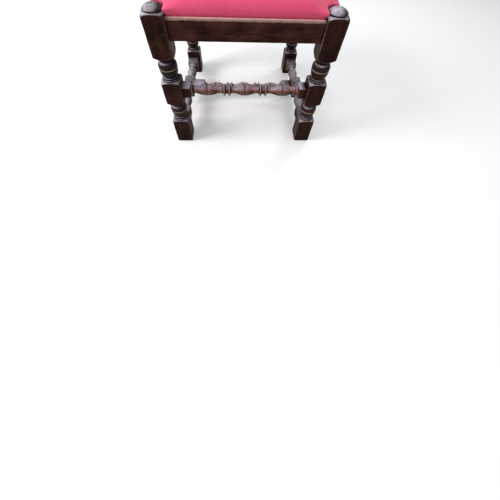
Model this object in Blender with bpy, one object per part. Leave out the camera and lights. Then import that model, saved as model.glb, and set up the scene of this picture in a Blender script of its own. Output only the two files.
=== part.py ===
"""Upholstered stool: a joined oak frame with turned legs and stretchers, and a drop-in seat.

Metres, +Z up. The origin is on the floor under the middle of the seat, and the front is towards -Y.
"""

import math

import bmesh
import bpy
from mathutils import Matrix, Vector

# Overall size: across the outer faces of the legs, and up to the ends of their arrises
WIDTH = 0.438
DEPTH = 0.422
HEIGHT = 0.3925

# Gap between pieces that touch
FIT = 0.0003

# Legs: one square billet each, with stretches left square and stretches turned round
LEG = 0.048
LEG_ARRIS = 0.0012
FOOT_BLOCK = 0.0895
MIDDLE_BLOCK = 0.0625
UPPER_BLOCK = 0.086
UPPER_TURNING_EXTRA = 0.0025
FOOT_CHAMFER = 0.003
LEG_SHOULDER = 0.0063
LEG_UNDER_SHOULDER = 0.0090
LEG_TOP_SHOULDER = 0.0118
LEG_RING_HEIGHT = 0.0042
LEG_RING_FLAT = 0.0025
LEG_LOW_RING_DIAMETER = 0.0432
LEG_HIGH_RING_DIAMETER = 0.0372
LEG_NECK_DIAMETER = 0.0305
LEG_NECK_HEIGHT = 0.0016
LEG_BOWL_DIAMETER = 0.0460
LEG_BOWL_SHARE = 0.46
LEG_LINE_HEIGHT = 0.0018
LEG_LINE_PROUD = 0.0006
LEG_LINE_DEPTH = 0.0013
LEG_BEAD_DIAMETER = 0.0468
LEG_BEAD_LOW_ANGLE = math.radians(-10)
LEG_TOP_NECK_DIAMETER = 0.030

# Button finial on the top of each leg
FINIAL_GROOVE_DIAMETER = 0.0376
FINIAL_GROOVE_HEIGHT = 0.0020
FINIAL_DIAMETER = 0.0434
FINIAL_DOME = 0.0100

# Seat rails
RAIL_SETBACK = 0.008
RAIL_THICKNESS = 0.027
RAIL_HEIGHT = 0.049
RAIL_ABOVE_ARRIS = 0.0005
RAIL_LIP = 0.0105
RAIL_LIP_ROUND = 0.0048
RAIL_REBATE = 0.014
RAIL_TENON_THICKNESS = 0.010
RAIL_TENON_SHOULDER = 0.0035
RAIL_TENON_WEB = 0.002

# High stretchers, front and rear
HIGH_SECTION = 0.033
HIGH_END_BLOCK = 0.0205

# Low side stretchers
LOW_SECTION = 0.036
LOW_HEIGHT = 0.059
LOW_END_BLOCK = 0.042
LOW_MIDDLE_BLOCK = 0.072

# Low medial stretcher between the two side stretchers
MEDIAL_SECTION = 0.036
MEDIAL_END_BLOCK = 0.036
MEDIAL_TENON_LENGTH = 0.021

# Turned shapes that the stretchers share
STRETCHER_ARRIS = 0.001
STRETCHER_SHOULDER = 0.0031
STRETCHER_FILLET = 0.0042
STRETCHER_FILLET_GROOVE = 0.0025
STRETCHER_NECK_DIAMETER = 0.0178
STRETCHER_BELLY_DIAMETER = 0.0284
STRETCHER_BAND_WIDTH = 0.0056
STRETCHER_BAND_PROUD = 0.0010
STRETCHER_RING_DIAMETER = 0.0328
STRETCHER_RING_SPACING = 0.0147
STRETCHER_RING_BASE = 0.0044
STRETCHER_VALLEY_DIAMETER = 0.0214
STRETCHER_RINGS_FROM_MIDDLE = 0.050
STRETCHER_NECK_FROM_RING = 0.0118
STRETCHER_TENON_THICKNESS = 0.011
STRETCHER_TENON_BREADTH = 0.020
STRETCHER_TENON_LENGTH = 0.027

# Share of half a belly's length in which it reaches its full diameter
BELLY_RISE_SHARE = 0.8

# Oak pegs through the tenons
PEG_DIAMETER = 0.0075
PEG_PROUD = 0.0006
PEG_PAST_TENON = 0.004
PEG_SIDES = 8

# Drop-in seat
SEAT_CLEARANCE = 0.0008
POST_CLEARANCE = 0.0015
COVER = 0.0014
COVER_CORNER = 0.0016
COVER_RETURN = 0.020
COVER_NOTCH_RETURN = 0.009
SEAT_MEMBER = 0.046
SEAT_FRAME = 0.016
WEB = 0.0012
WEB_WIDTH = 0.050
WEB_SPACING_X = 0.099
WEB_SPACING_Y = 0.094
WEB_END_INSET = 0.010
WEB_CROSSING_MARGIN = 0.004
HESSIAN = 0.0008
HESSIAN_INSET = 0.006
PAD_BELLY = 0.0085
PAD_BELLY_RISE = 0.009
PAD_EDGE_RISE = 0.028
PAD_EDGE_ROLL = 0.0235
PAD_CORNER = 0.007
PAD_CROWN = 0.018

# Facets
LEG_SIDES = 16
STRETCHER_SIDES = 12
SHOULDER_STEPS = 2
BOWL_STEPS = 3
BEAD_STEPS = 4
DOME_STEPS = 4
BELLY_STEPS = 3
ROUND_STEPS = 3
ROLL_STEPS = 3
CORNER_STEPS = 2
FACE_STEPS = 5
CROWN_RINGS = (0.8, 0.5, 0.2)
SHARP_TURNING = math.radians(32)
SHARP_PAD = math.radians(50)
WEBS_EACH_WAY = (-1, 0, 1)
SIDES = (-1, 1)

# Heights up a leg
turned_height = HEIGHT - FOOT_BLOCK - MIDDLE_BLOCK - UPPER_BLOCK
lower_turning = (turned_height - UPPER_TURNING_EXTRA) / 2
middle_low = FOOT_BLOCK + lower_turning
middle_high = middle_low + MIDDLE_BLOCK
upper_low = HEIGHT - UPPER_BLOCK

# Places of the rails and stretchers
rail_high = HEIGHT + RAIL_ABOVE_ARRIS
rail_low = rail_high - RAIL_HEIGHT
rebate_floor = rail_high - RAIL_REBATE
rail_middle = RAIL_SETBACK + RAIL_THICKNESS / 2
high_height = (middle_low + middle_high) / 2
leg_x = WIDTH / 2 - LEG / 2
leg_y = DEPTH / 2 - LEG / 2
span_x = WIDTH - 2 * LEG
span_y = DEPTH - 2 * LEG
medial_span = 2 * leg_x - LOW_SECTION

# Heights in the drop-in seat, above the floor of the rebate that carries it
cover_low = FIT
seat_frame_low = cover_low + COVER + FIT
seat_frame_high = seat_frame_low + SEAT_FRAME
web_middle = seat_frame_high + FIT + WEB / 2
web_weave = (WEB + FIT) / 2
hessian_low = web_middle + web_weave + WEB / 2 + FIT
stuffing_low = hessian_low + HESSIAN + FIT
belly_height = stuffing_low + PAD_BELLY_RISE
edge_height = stuffing_low + PAD_EDGE_RISE

# Plan of the drop-in seat: half-sizes to its faces, and to the notches round the posts
seat_x = WIDTH / 2 - RAIL_SETBACK - RAIL_LIP - SEAT_CLEARANCE
seat_y = DEPTH / 2 - RAIL_SETBACK - RAIL_LIP - SEAT_CLEARANCE
notch_x = WIDTH / 2 - LEG - POST_CLEARANCE
notch_y = DEPTH / 2 - LEG - POST_CLEARANCE


def make_material(name, colour, roughness):
    material = bpy.data.materials.new(name)
    material.use_nodes = True
    shader = material.node_tree.nodes["Principled BSDF"]
    shader.inputs["Base Color"].default_value = (*colour, 1.0)
    shader.inputs["Roughness"].default_value = roughness
    shader.inputs["Metallic"].default_value = 0.0
    return material


def finished_mesh(name, bm):
    """The mesh of bm with its faces turned outwards."""
    bmesh.ops.recalc_face_normals(bm, faces=bm.faces)
    mesh = bpy.data.meshes.new(name)
    bm.to_mesh(mesh)
    bm.free()
    return mesh


def add_object(name, mesh, material, parent, location=(0, 0, 0), turn=0.0):
    obj = bpy.data.objects.new(name, mesh)
    bpy.context.collection.objects.link(obj)
    obj.parent = parent
    obj.location = location
    obj.rotation_euler = (0, 0, turn)
    if not mesh.materials:
        mesh.materials.append(material)
    return obj


def add_empty(name, location=(0, 0, 0), parent=None):
    empty = bpy.data.objects.new(name, None)
    bpy.context.collection.objects.link(empty)
    empty.location = location
    empty.parent = parent
    return empty


def add_helper(name, mesh, parent=None):
    """A shape that only cuts or extends another one."""
    helper = bpy.data.objects.new(name, mesh)
    bpy.context.collection.objects.link(helper)
    helper.parent = parent
    helper.hide_render = True
    helper.display_type = "WIRE"
    return helper


def add_boolean(obj, operation, helper):
    modifier = obj.modifiers.new(f"{operation.lower()} {helper.name}", "BOOLEAN")
    modifier.operation = operation
    modifier.solver = "EXACT"
    modifier.object = helper


def box_mesh(name, corner, opposite):
    low = Vector(map(min, corner, opposite))
    high = Vector(map(max, corner, opposite))
    bm = bmesh.new()
    place = Matrix.Translation((low + high) / 2) @ Matrix.Diagonal((*(high - low), 1))
    bmesh.ops.create_cube(bm, size=1, matrix=place)
    return finished_mesh(name, bm)


def rod_mesh(name, start, end, diameter):
    start = Vector(start)
    along = Vector(end) - start
    turned = along.to_track_quat("Z", "Y").to_matrix().to_4x4()
    place = Matrix.Translation(start + along / 2) @ turned
    bm = bmesh.new()
    bmesh.ops.create_cone(
        bm,
        cap_ends=True,
        segments=PEG_SIDES,
        radius1=diameter / 2,
        radius2=diameter / 2,
        depth=along.length,
        matrix=place,
    )
    return finished_mesh(name, bm)


def extruded_mesh(name, outline, start, end, place):
    """A closed outline in the XY plane, extruded from start to end along Z, then placed."""
    bm = bmesh.new()
    corners = [bm.verts.new((x, y, start)) for x, y in outline]
    face = bm.faces.new(corners)
    extruded = bmesh.ops.extrude_face_region(bm, geom=[face])
    raised = [v for v in extruded["geom"] if isinstance(v, bmesh.types.BMVert)]
    bmesh.ops.translate(bm, verts=raised, vec=(0, 0, end - start))
    bmesh.ops.transform(bm, matrix=place, verts=bm.verts)
    return finished_mesh(name, bm)


def lathe_mesh(name, profile, sides):
    """A profile of (radius, height) points, which starts and ends on the axis, turned round Z."""
    bm = bmesh.new()
    verts = [bm.verts.new((radius, 0, height)) for radius, height in profile]
    edges = [bm.edges.new(pair) for pair in zip(verts, verts[1:])]
    bmesh.ops.spin(
        bm,
        geom=verts + edges,
        axis=(0, 0, 1),
        cent=(0, 0, 0),
        angle=2 * math.pi,
        steps=sides,
        use_merge=True,
    )
    bmesh.ops.remove_doubles(bm, verts=bm.verts, dist=1e-6)
    return finished_mesh(name, bm)


def chamfered_square(side, chamfer):
    half = side / 2
    inner = half - chamfer
    corner = [(half, inner), (inner, half)]
    outline = []
    for quarter in range(4):
        turned = Matrix.Rotation(quarter * math.pi / 2, 2)
        outline += [tuple(turned @ Vector(point)) for point in corner]
    return outline


def turned_billet(name, section, arris, low, high, profile, sides):
    """A square billet from low to high along Z, turned down to the profile where that is slimmer."""
    square = chamfered_square(section, arris)
    billet = add_helper(name, extruded_mesh(name, square, low, high, Matrix()))
    lathe = add_helper(f"{name}_lathe", lathe_mesh(f"{name}_lathe", profile, sides))
    add_boolean(billet, "INTERSECT", lathe)
    graph = bpy.context.evaluated_depsgraph_get()
    mesh = bpy.data.meshes.new_from_object(billet.evaluated_get(graph))
    for helper in (billet, lathe):
        bpy.data.objects.remove(helper)
    mesh.shade_smooth()
    mesh.set_sharp_from_angle(angle=SHARP_TURNING)
    return mesh


def shoulder_points(corner_height, inner_height, section, inner_radius, steps):
    """The round shoulder of a square block, from past its arris in to the turned part."""
    corner_radius = math.hypot(section / 2, section / 2)
    points = []
    for step in range(steps + 1):
        angle = step / steps * math.pi / 2
        radius = inner_radius + (corner_radius - inner_radius) * math.cos(angle)
        height = corner_height + (inner_height - corner_height) * math.sin(angle)
        points.append((radius, height))
    return points


def leg_turning_points(low, high):
    """One turned stretch of a leg, upwards: two rings, a bowl, a line and a bead between two shoulders."""
    low_ring = LEG_LOW_RING_DIAMETER / 2
    high_ring = LEG_HIGH_RING_DIAMETER / 2
    neck = LEG_NECK_DIAMETER / 2
    bowl = LEG_BOWL_DIAMETER / 2
    bead = LEG_BEAD_DIAMETER / 2
    top_neck = LEG_TOP_NECK_DIAMETER / 2
    first_ring = low + LEG_SHOULDER
    second_ring = first_ring + LEG_RING_HEIGHT
    bowl_low = second_ring + LEG_RING_HEIGHT + LEG_NECK_HEIGHT
    bead_high = high - LEG_UNDER_SHOULDER - LEG_NECK_HEIGHT
    line = bowl_low + LEG_BOWL_SHARE * (bead_high - bowl_low)
    points = shoulder_points(low, first_ring, LEG, low_ring, SHOULDER_STEPS)
    points += [
        (low_ring, first_ring + LEG_RING_FLAT),
        (high_ring, second_ring),
        (high_ring, second_ring + LEG_RING_FLAT),
        (neck, second_ring + LEG_RING_HEIGHT),
    ]
    for step in range(BOWL_STEPS + 1):
        angle = step / BOWL_STEPS * math.pi / 2
        height = bowl_low + (line - bowl_low) * (1 - math.cos(angle))
        points.append((neck + (bowl - neck) * math.sin(angle), height))
    points += [
        (bowl - LEG_LINE_DEPTH, line + LEG_LINE_HEIGHT / 2),
        (bowl + LEG_LINE_PROUD, line + LEG_LINE_HEIGHT),
        (bead - LEG_LINE_DEPTH, line + 2 * LEG_LINE_HEIGHT),
    ]
    bead_low = line + 2 * LEG_LINE_HEIGHT
    low_sine = math.sin(LEG_BEAD_LOW_ANGLE)
    for step in range(1, BEAD_STEPS + 1):
        angle = LEG_BEAD_LOW_ANGLE + (math.pi / 2 - LEG_BEAD_LOW_ANGLE) * step / BEAD_STEPS
        share = (math.sin(angle) - low_sine) / (1 - low_sine)
        height = bead_low + (bead_high - bead_low) * share
        points.append((top_neck + (bead - top_neck) * math.cos(angle), height))
    points.append((top_neck, bead_high + LEG_NECK_HEIGHT / 2))
    top_shoulder = high - LEG_UNDER_SHOULDER
    points += reversed(shoulder_points(high, top_shoulder, LEG, top_neck, SHOULDER_STEPS))
    return points


def faces_sideways(face):
    return abs(face.normal.z) < math.hypot(face.normal.x, face.normal.y)


def leg_mesh():
    """A leg standing on the floor with its axis on Z."""
    past_arris = LEG
    below_floor = -LEG
    groove_low = HEIGHT + LEG_TOP_SHOULDER
    rim = groove_low + FINIAL_GROOVE_HEIGHT
    profile = [(0, below_floor), (past_arris, below_floor), (past_arris, FOOT_BLOCK)]
    profile += leg_turning_points(FOOT_BLOCK, middle_low)
    profile += [(past_arris, middle_low), (past_arris, middle_high)]
    profile += leg_turning_points(middle_high, upper_low)
    profile += [(past_arris, upper_low), (past_arris, HEIGHT)]
    groove = FINIAL_GROOVE_DIAMETER / 2
    profile += shoulder_points(HEIGHT, groove_low, LEG, groove, SHOULDER_STEPS)
    for step in range(DOME_STEPS):
        angle = step / DOME_STEPS * math.pi / 2
        radius = FINIAL_DIAMETER / 2 * math.cos(angle)
        profile.append((radius, rim + FINIAL_DOME * math.sin(angle)))
    profile.append((0, rim + FINIAL_DOME))
    profile.reverse()
    top = rim + 2 * FINIAL_DOME
    mesh = turned_billet("leg", LEG, LEG_ARRIS, 0, top, profile, LEG_SIDES)
    bm = bmesh.new()
    bm.from_mesh(mesh)
    floor_edges = [e for e in bm.edges if all(abs(v.co.z) < FIT / 10 for v in e.verts)]
    rim_edges = [e for e in floor_edges if any(faces_sideways(f) for f in e.link_faces)]
    bmesh.ops.bevel(
        bm, geom=rim_edges, offset=FOOT_CHAMFER, segments=1, affect="EDGES", clamp_overlap=True
    )
    return finished_mesh("leg", bm)


def baluster_points(start, end):
    """A belly between two necks, with a raised band round its middle."""
    neck = STRETCHER_NECK_DIAMETER / 2
    belly = STRETCHER_BELLY_DIAMETER / 2
    middle = (start + end) / 2
    half_band = STRETCHER_BAND_WIDTH / 2
    rise = []
    for step in range(BELLY_STEPS + 1):
        share = step / BELLY_STEPS
        along = start + (middle - half_band - start) * share
        swell = math.sin(min(1, share / BELLY_RISE_SHARE) * math.pi / 2)
        rise.append((neck + (belly - neck) * swell, along))
    fall = [(radius, 2 * middle - along) for radius, along in reversed(rise)]
    return [*rise, (belly + STRETCHER_BAND_PROUD, middle), *fall]


def ring_pair_points(middle):
    """Two sharp rings with a hollow between them."""
    neck = STRETCHER_NECK_DIAMETER / 2
    ring = STRETCHER_RING_DIAMETER / 2
    valley = STRETCHER_VALLEY_DIAMETER / 2
    half = STRETCHER_RING_SPACING / 2
    side = [(valley, STRETCHER_RING_BASE - half), (ring, -half), (neck, -half - STRETCHER_RING_BASE)]
    low = [(radius, middle + along) for radius, along in reversed(side)]
    high = [(radius, middle - along) for radius, along in side]
    return low + high


def block_end_points(corner, direction, section):
    """The end of a square block and the fillet beside it, from the block outwards in direction."""
    neck = STRETCHER_NECK_DIAMETER / 2
    fillet = STRETCHER_RING_DIAMETER / 2
    inner = corner + direction * STRETCHER_SHOULDER
    points = [(section, corner)]
    groove = fillet - STRETCHER_FILLET_GROOVE
    points += shoulder_points(corner, inner, section, groove, SHOULDER_STEPS)
    points.append((fillet, inner + direction * STRETCHER_FILLET / 2))
    points.append((neck, inner + direction * (STRETCHER_FILLET + STRETCHER_SHOULDER)))
    return points


def neck_beside_block(corner, direction):
    return corner + direction * (2 * STRETCHER_SHOULDER + STRETCHER_FILLET)


def long_stretcher_mesh(name, section, span, end_block):
    """A stretcher along X with three balusters and two pairs of rings between its end blocks."""
    half = span / 2 - FIT
    turned = span / 2 - end_block
    ring_middle = STRETCHER_RINGS_FROM_MIDDLE
    neck_offset = STRETCHER_RING_SPACING / 2 + STRETCHER_NECK_FROM_RING
    inner_neck = ring_middle - neck_offset
    upper = baluster_points(ring_middle + neck_offset, neck_beside_block(turned, -1))
    lower = [(radius, -along) for radius, along in reversed(upper)]
    profile = [(0, -2 * half), (section, -2 * half)]
    profile += block_end_points(-turned, 1, section)
    profile += lower
    profile += ring_pair_points(-ring_middle)
    profile += baluster_points(-inner_neck, inner_neck)
    profile += ring_pair_points(ring_middle)
    profile += upper
    profile += reversed(block_end_points(turned, -1, section))
    profile += [(section, 2 * half), (0, 2 * half)]
    return along_x(
        turned_billet(name, section, STRETCHER_ARRIS, -half, half, profile[::-1], STRETCHER_SIDES)
    )


def side_stretcher_mesh():
    """A stretcher along X with a baluster on each side of the block at its middle."""
    half = span_y / 2 - FIT
    outer = span_y / 2 - LOW_END_BLOCK
    inner = LOW_MIDDLE_BLOCK / 2
    upper = block_end_points(inner, 1, LOW_SECTION)
    upper += baluster_points(neck_beside_block(inner, 1), neck_beside_block(outer, -1))
    upper += reversed(block_end_points(outer, -1, LOW_SECTION))
    upper += [(LOW_SECTION, 2 * half), (0, 2 * half)]
    profile = [(radius, -along) for radius, along in reversed(upper)] + upper
    return along_x(
        turned_billet(
            "side_stretcher", LOW_SECTION, STRETCHER_ARRIS, -half, half, profile[::-1], STRETCHER_SIDES
        )
    )


def along_x(mesh):
    """Turns a mesh made along Z to lie along X."""
    mesh.transform(Matrix.Rotation(math.pi / 2, 4, "Y"))
    return mesh


def rail_mesh(name, span):
    """A rail along X with its outer face on Y = 0: a rounded lip outside and a rebate inside."""
    lip_round = min(RAIL_LIP_ROUND, RAIL_LIP)
    outline = [(RAIL_THICKNESS, 0), (0, 0)]
    for step in range(ROUND_STEPS + 1):
        angle = step / ROUND_STEPS * math.pi / 2
        across = lip_round * (1 - math.cos(angle))
        outline.append((across, RAIL_HEIGHT - lip_round * (1 - math.sin(angle))))
    outline += [
        (RAIL_LIP, RAIL_HEIGHT),
        (RAIL_LIP, RAIL_HEIGHT - RAIL_REBATE),
        (RAIL_THICKNESS, RAIL_HEIGHT - RAIL_REBATE),
    ]
    lengthwise = Matrix(((0, 0, 1, 0), (1, 0, 0, 0), (0, 1, 0, 0), (0, 0, 0, 1)))
    return extruded_mesh(name, outline, FIT - span / 2, span / 2 - FIT, lengthwise)


def pegged_joint(name, member, post, tenon, peg_axis, peg_start, past_tenon):
    """Gives the member a tenon, the post its mortise, and both a hole with a peg in it.

    tenon is a pair of opposite corners. The peg goes along peg_axis from peg_start on the
    post's face, through the middle of the tenon, and past_tenon beyond it.
    """
    corner = Vector(map(min, *tenon))
    opposite = Vector(map(max, *tenon))
    room = Vector((FIT, FIT, FIT))
    tenon_helper = add_helper(f"tenon_{name}", box_mesh(f"tenon_{name}", corner, opposite))
    mortise = add_helper(f"mortise_{name}", box_mesh(f"mortise_{name}", corner - room, opposite + room))
    inward = Vector((0, 0, 0))
    middle = (corner + opposite) / 2
    inward[peg_axis] = 1 if middle[peg_axis] > peg_start else -1
    face = Vector(middle)
    face[peg_axis] = peg_start
    half_tenon = (opposite - corner)[peg_axis] / 2
    tip = middle + inward * (half_tenon + past_tenon)
    peg = rod_mesh(f"peg_{name}", face - inward * PEG_PROUD, tip, PEG_DIAMETER)
    add_object(f"peg_{name}", peg, peg_oak, stool)
    hole_mesh = rod_mesh(
        f"hole_{name}", face - inward * PEG_DIAMETER, tip + inward * FIT, PEG_DIAMETER + 2 * FIT
    )
    hole = add_helper(f"hole_{name}", hole_mesh)
    add_boolean(member, "UNION", tenon_helper)
    add_boolean(member, "DIFFERENCE", hole)
    add_boolean(post, "DIFFERENCE", mortise)
    add_boolean(post, "DIFFERENCE", hole)


def tenon_corners(axis, shoulder, direction, length, centre, thickness, breadth):
    """Opposite corners of a tenon that leaves its shoulder along axis, rooted a little in its member."""
    root = min(thickness, breadth) / 4
    corner = Vector(centre)
    opposite = Vector(centre)
    across = 1 - axis
    corner[axis] = shoulder - direction * root
    opposite[axis] = shoulder + direction * length
    corner[across] -= thickness / 2
    opposite[across] += thickness / 2
    corner.z -= breadth / 2
    opposite.z += breadth / 2
    return corner, opposite


def side_name(x_side, y_side):
    return f"{'front' if y_side < 0 else 'rear'}_{'left' if x_side < 0 else 'right'}"


def build_legs():
    mesh = leg_mesh()
    legs = {}
    for x_side in SIDES:
        for y_side in SIDES:
            name = f"leg_{side_name(x_side, y_side)}"
            place = (x_side * leg_x, y_side * leg_y, 0)
            legs[x_side, y_side] = add_object(name, mesh, oak, stool, place)
    return legs


def build_rails(legs):
    """Four rails between the upper blocks of the legs."""
    tenon_length = LEG - rail_middle - RAIL_TENON_THICKNESS / 2 - RAIL_TENON_WEB
    tenon_breadth = RAIL_HEIGHT - RAIL_REBATE - 2 * RAIL_TENON_SHOULDER
    tenon_height = rail_low + RAIL_TENON_SHOULDER + tenon_breadth / 2
    for axis, span, names in ((0, span_x, ("front", "rear")), (1, span_y, ("left", "right"))):
        across = 1 - axis
        overall = (WIDTH, DEPTH)
        mesh = rail_mesh(f"rail_{names[0]}", span)
        for side, name in zip(SIDES, names):
            place = Vector((0, 0, rail_low))
            place[across] = side * (overall[across] / 2 - RAIL_SETBACK)
            turn = (0 if side < 0 else math.pi) if axis == 0 else side * math.pi / 2
            rail = add_object(f"rail_{name}", mesh, oak, stool, place, turn)
            for end in SIDES:
                post = legs[(end, side) if axis == 0 else (side, end)]
                centre = Vector((0, 0, tenon_height))
                centre[across] = side * (overall[across] / 2 - rail_middle)
                tenon = tenon_corners(
                    axis, end * span / 2, end, tenon_length, centre, RAIL_TENON_THICKNESS, tenon_breadth
                )
                joint = f"rail_{name}_{post.name.removeprefix('leg_')}"
                peg_start = side * overall[across] / 2
                pegged_joint(joint, rail, post, tenon, across, peg_start, PEG_PAST_TENON)


def build_high_stretchers(legs):
    mesh = long_stretcher_mesh("stretcher_high", HIGH_SECTION, span_x, HIGH_END_BLOCK)
    for y_side, name in zip(SIDES, ("front", "rear")):
        place = (0, y_side * leg_y, high_height)
        stretcher = add_object(f"stretcher_{name}", mesh, oak, stool, place)
        for x_side in SIDES:
            post = legs[x_side, y_side]
            tenon = tenon_corners(
                0,
                x_side * span_x / 2,
                x_side,
                STRETCHER_TENON_LENGTH,
                place,
                STRETCHER_TENON_THICKNESS,
                STRETCHER_TENON_BREADTH,
            )
            joint = f"stretcher_{post.name.removeprefix('leg_')}"
            pegged_joint(joint, stretcher, post, tenon, 1, y_side * DEPTH / 2, PEG_PAST_TENON)


def build_low_stretchers(legs):
    """The H of low stretchers: one on each side, and the medial one between them."""
    side_mesh = side_stretcher_mesh()
    name = "stretcher_medial"
    medial_mesh = long_stretcher_mesh(name, MEDIAL_SECTION, medial_span, MEDIAL_END_BLOCK)
    medial = add_object(name, medial_mesh, oak, stool, (0, 0, LOW_HEIGHT))
    for x_side, name in zip(SIDES, ("left", "right")):
        place = (x_side * leg_x, 0, LOW_HEIGHT)
        stretcher = add_object(f"stretcher_{name}", side_mesh, oak, stool, place, math.pi / 2)
        for y_side in SIDES:
            post = legs[x_side, y_side]
            tenon = tenon_corners(
                1,
                y_side * span_y / 2,
                y_side,
                STRETCHER_TENON_LENGTH,
                place,
                STRETCHER_TENON_THICKNESS,
                STRETCHER_TENON_BREADTH,
            )
            joint = f"low_{post.name.removeprefix('leg_')}"
            pegged_joint(joint, stretcher, post, tenon, 0, x_side * WIDTH / 2, PEG_PAST_TENON)
        tenon = tenon_corners(
            0,
            x_side * medial_span / 2,
            x_side,
            MEDIAL_TENON_LENGTH,
            (0, 0, LOW_HEIGHT),
            STRETCHER_TENON_BREADTH,
            STRETCHER_TENON_THICKNESS,
        )
        peg_start = LOW_HEIGHT + LOW_SECTION / 2
        pegged_joint(f"medial_{name}", medial, stretcher, tenon, 2, peg_start, PEG_PAST_TENON)


def build_seat_frame():
    """Four flat members, half-lapped at the corners and notched round the posts."""
    long_x = seat_x - COVER - FIT
    long_y = seat_y - COVER - FIT
    lap = SEAT_MEMBER + FIT
    half = SEAT_FRAME / 2
    cut_x = notch_x - COVER - FIT
    cut_y = notch_y - COVER - FIT
    cut_low = seat_frame_low - SEAT_FRAME
    cut_high = seat_frame_high + SEAT_FRAME
    cutters = []
    for x_side in SIDES:
        for y_side in SIDES:
            inner = (x_side * cut_x, y_side * cut_y, cut_low)
            outer = (x_side * WIDTH, y_side * DEPTH, cut_high)
            name = f"seat_notch_{side_name(x_side, y_side)}"
            cutters.append(add_helper(name, box_mesh(name, inner, outer), drop_in_seat))
    upright = Matrix.Rotation(math.pi / 2, 4, "X")
    quarter = Matrix.Rotation(math.pi / 2, 4, "Z")
    cross = [
        (-long_x, 0),
        (long_x, 0),
        (long_x, half - FIT / 2),
        (long_x - lap, half - FIT / 2),
        (long_x - lap, SEAT_FRAME),
        (lap - long_x, SEAT_FRAME),
        (lap - long_x, half - FIT / 2),
        (-long_x, half - FIT / 2),
    ]
    along = [
        (lap - long_y, 0),
        (long_y - lap, 0),
        (long_y - lap, half + FIT / 2),
        (long_y, half + FIT / 2),
        (long_y, SEAT_FRAME),
        (-long_y, SEAT_FRAME),
        (-long_y, half + FIT / 2),
        (lap - long_y, half + FIT / 2),
    ]
    for side, names in zip(SIDES, (("front", "left"), ("rear", "right"))):
        face = long_y if side < 0 else SEAT_MEMBER - long_y
        cross_mesh = extruded_mesh("seat_cross", cross, face - SEAT_MEMBER, face, upright)
        face = SEAT_MEMBER - long_x if side < 0 else long_x
        along_mesh = extruded_mesh("seat_along", along, face - SEAT_MEMBER, face, quarter @ upright)
        for name, mesh in zip(names, (cross_mesh, along_mesh)):
            place = (0, 0, seat_frame_low)
            member = add_object(f"seat_frame_{name}", mesh, beech, drop_in_seat, place)
            for cutter in cutters:
                add_boolean(member, "DIFFERENCE", cutter)


def web_mesh(name, half_length, frame_edge, spacing, first_over):
    """A strip along X that goes over and under the strips it crosses."""
    path = [(-half_length, 0), (-frame_edge, 0)]
    half_crossing = WEB_WIDTH / 2 + WEB_CROSSING_MARGIN
    over = first_over
    for place in WEBS_EACH_WAY:
        height = web_weave if over else -web_weave
        path.append((place * spacing - half_crossing, height))
        path.append((place * spacing + half_crossing, height))
        over = not over
    path += [(frame_edge, 0), (half_length, 0)]
    upper = [(x, z + WEB / 2) for x, z in path]
    lower = [(x, z - WEB / 2) for x, z in reversed(path)]
    upright = Matrix.Rotation(math.pi / 2, 4, "X")
    return extruded_mesh(name, upper + lower, -WEB_WIDTH / 2, WEB_WIDTH / 2, upright)


def build_webbing():
    names = ("first", "middle", "last")
    inset = COVER + FIT + WEB_END_INSET
    edge = COVER + FIT + SEAT_MEMBER
    for number, (place, name) in enumerate(zip(WEBS_EACH_WAY, names)):
        over = number % 2 == 0
        lengthwise = web_mesh(f"web_cross_{name}", seat_x - inset, seat_x - edge, WEB_SPACING_X, over)
        where = (0, place * WEB_SPACING_Y, web_middle)
        add_object(f"web_cross_{name}", lengthwise, jute, drop_in_seat, where)
        crosswise = web_mesh(f"web_along_{name}", seat_y - inset, seat_y - edge, WEB_SPACING_Y, not over)
        where = (place * WEB_SPACING_X, 0, web_middle)
        add_object(f"web_along_{name}", crosswise, jute, drop_in_seat, where, math.pi / 2)


def seat_outline(grow, notch_grow, corner):
    """Plan of the seat, counter-clockwise, its faces moved out by grow and its notches by notch_grow."""
    outer = Vector((seat_x + grow, seat_y + grow))
    inner = Vector((notch_x + notch_grow, notch_y + notch_grow))
    turns = ((1, 1), (-1, 1), (-1, -1), (1, -1))
    corners = []
    for quarter, (x_side, y_side) in enumerate(turns):
        on_x_face = (x_side * outer.x, y_side * inner.y)
        on_y_face = (x_side * inner.x, y_side * outer.y)
        ends = (on_x_face, on_y_face) if quarter % 2 == 0 else (on_y_face, on_x_face)
        arcs = []
        for x, y in ends:
            centre = (x - x_side * corner, y - y_side * corner)
            arc = []
            for step in range(CORNER_STEPS + 1):
                angle = (quarter + step / CORNER_STEPS) * math.pi / 2
                arc.append((centre[0] + corner * math.cos(angle), centre[1] + corner * math.sin(angle)))
            arcs.append(arc)
        corners.append(arcs[0] + [(x_side * inner.x, y_side * inner.y)] + arcs[1])
    outline = []
    for number, points in enumerate(corners):
        following = Vector(corners[(number + 1) % len(corners)][0])
        last = Vector(points[-1])
        outline += points
        outline += [tuple(last.lerp(following, step / FACE_STEPS)) for step in range(1, FACE_STEPS)]
    return outline


def crown_at(x, y):
    """How much the stuffing lifts the seat above its edge."""
    across = max(0.0, 1 - (x / seat_x) ** 2)
    along = max(0.0, 1 - (y / seat_y) ** 2)
    return PAD_CROWN * math.sqrt(across * along)


def seat_ring(grow, inset, height, corner):
    """One level of the pad, which swells by grow over the lips but never into the posts, set in by inset."""
    outline = seat_outline(grow - inset, min(grow, 0) - inset, corner - inset)
    return [(x, y, height) for x, y in outline]


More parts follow.
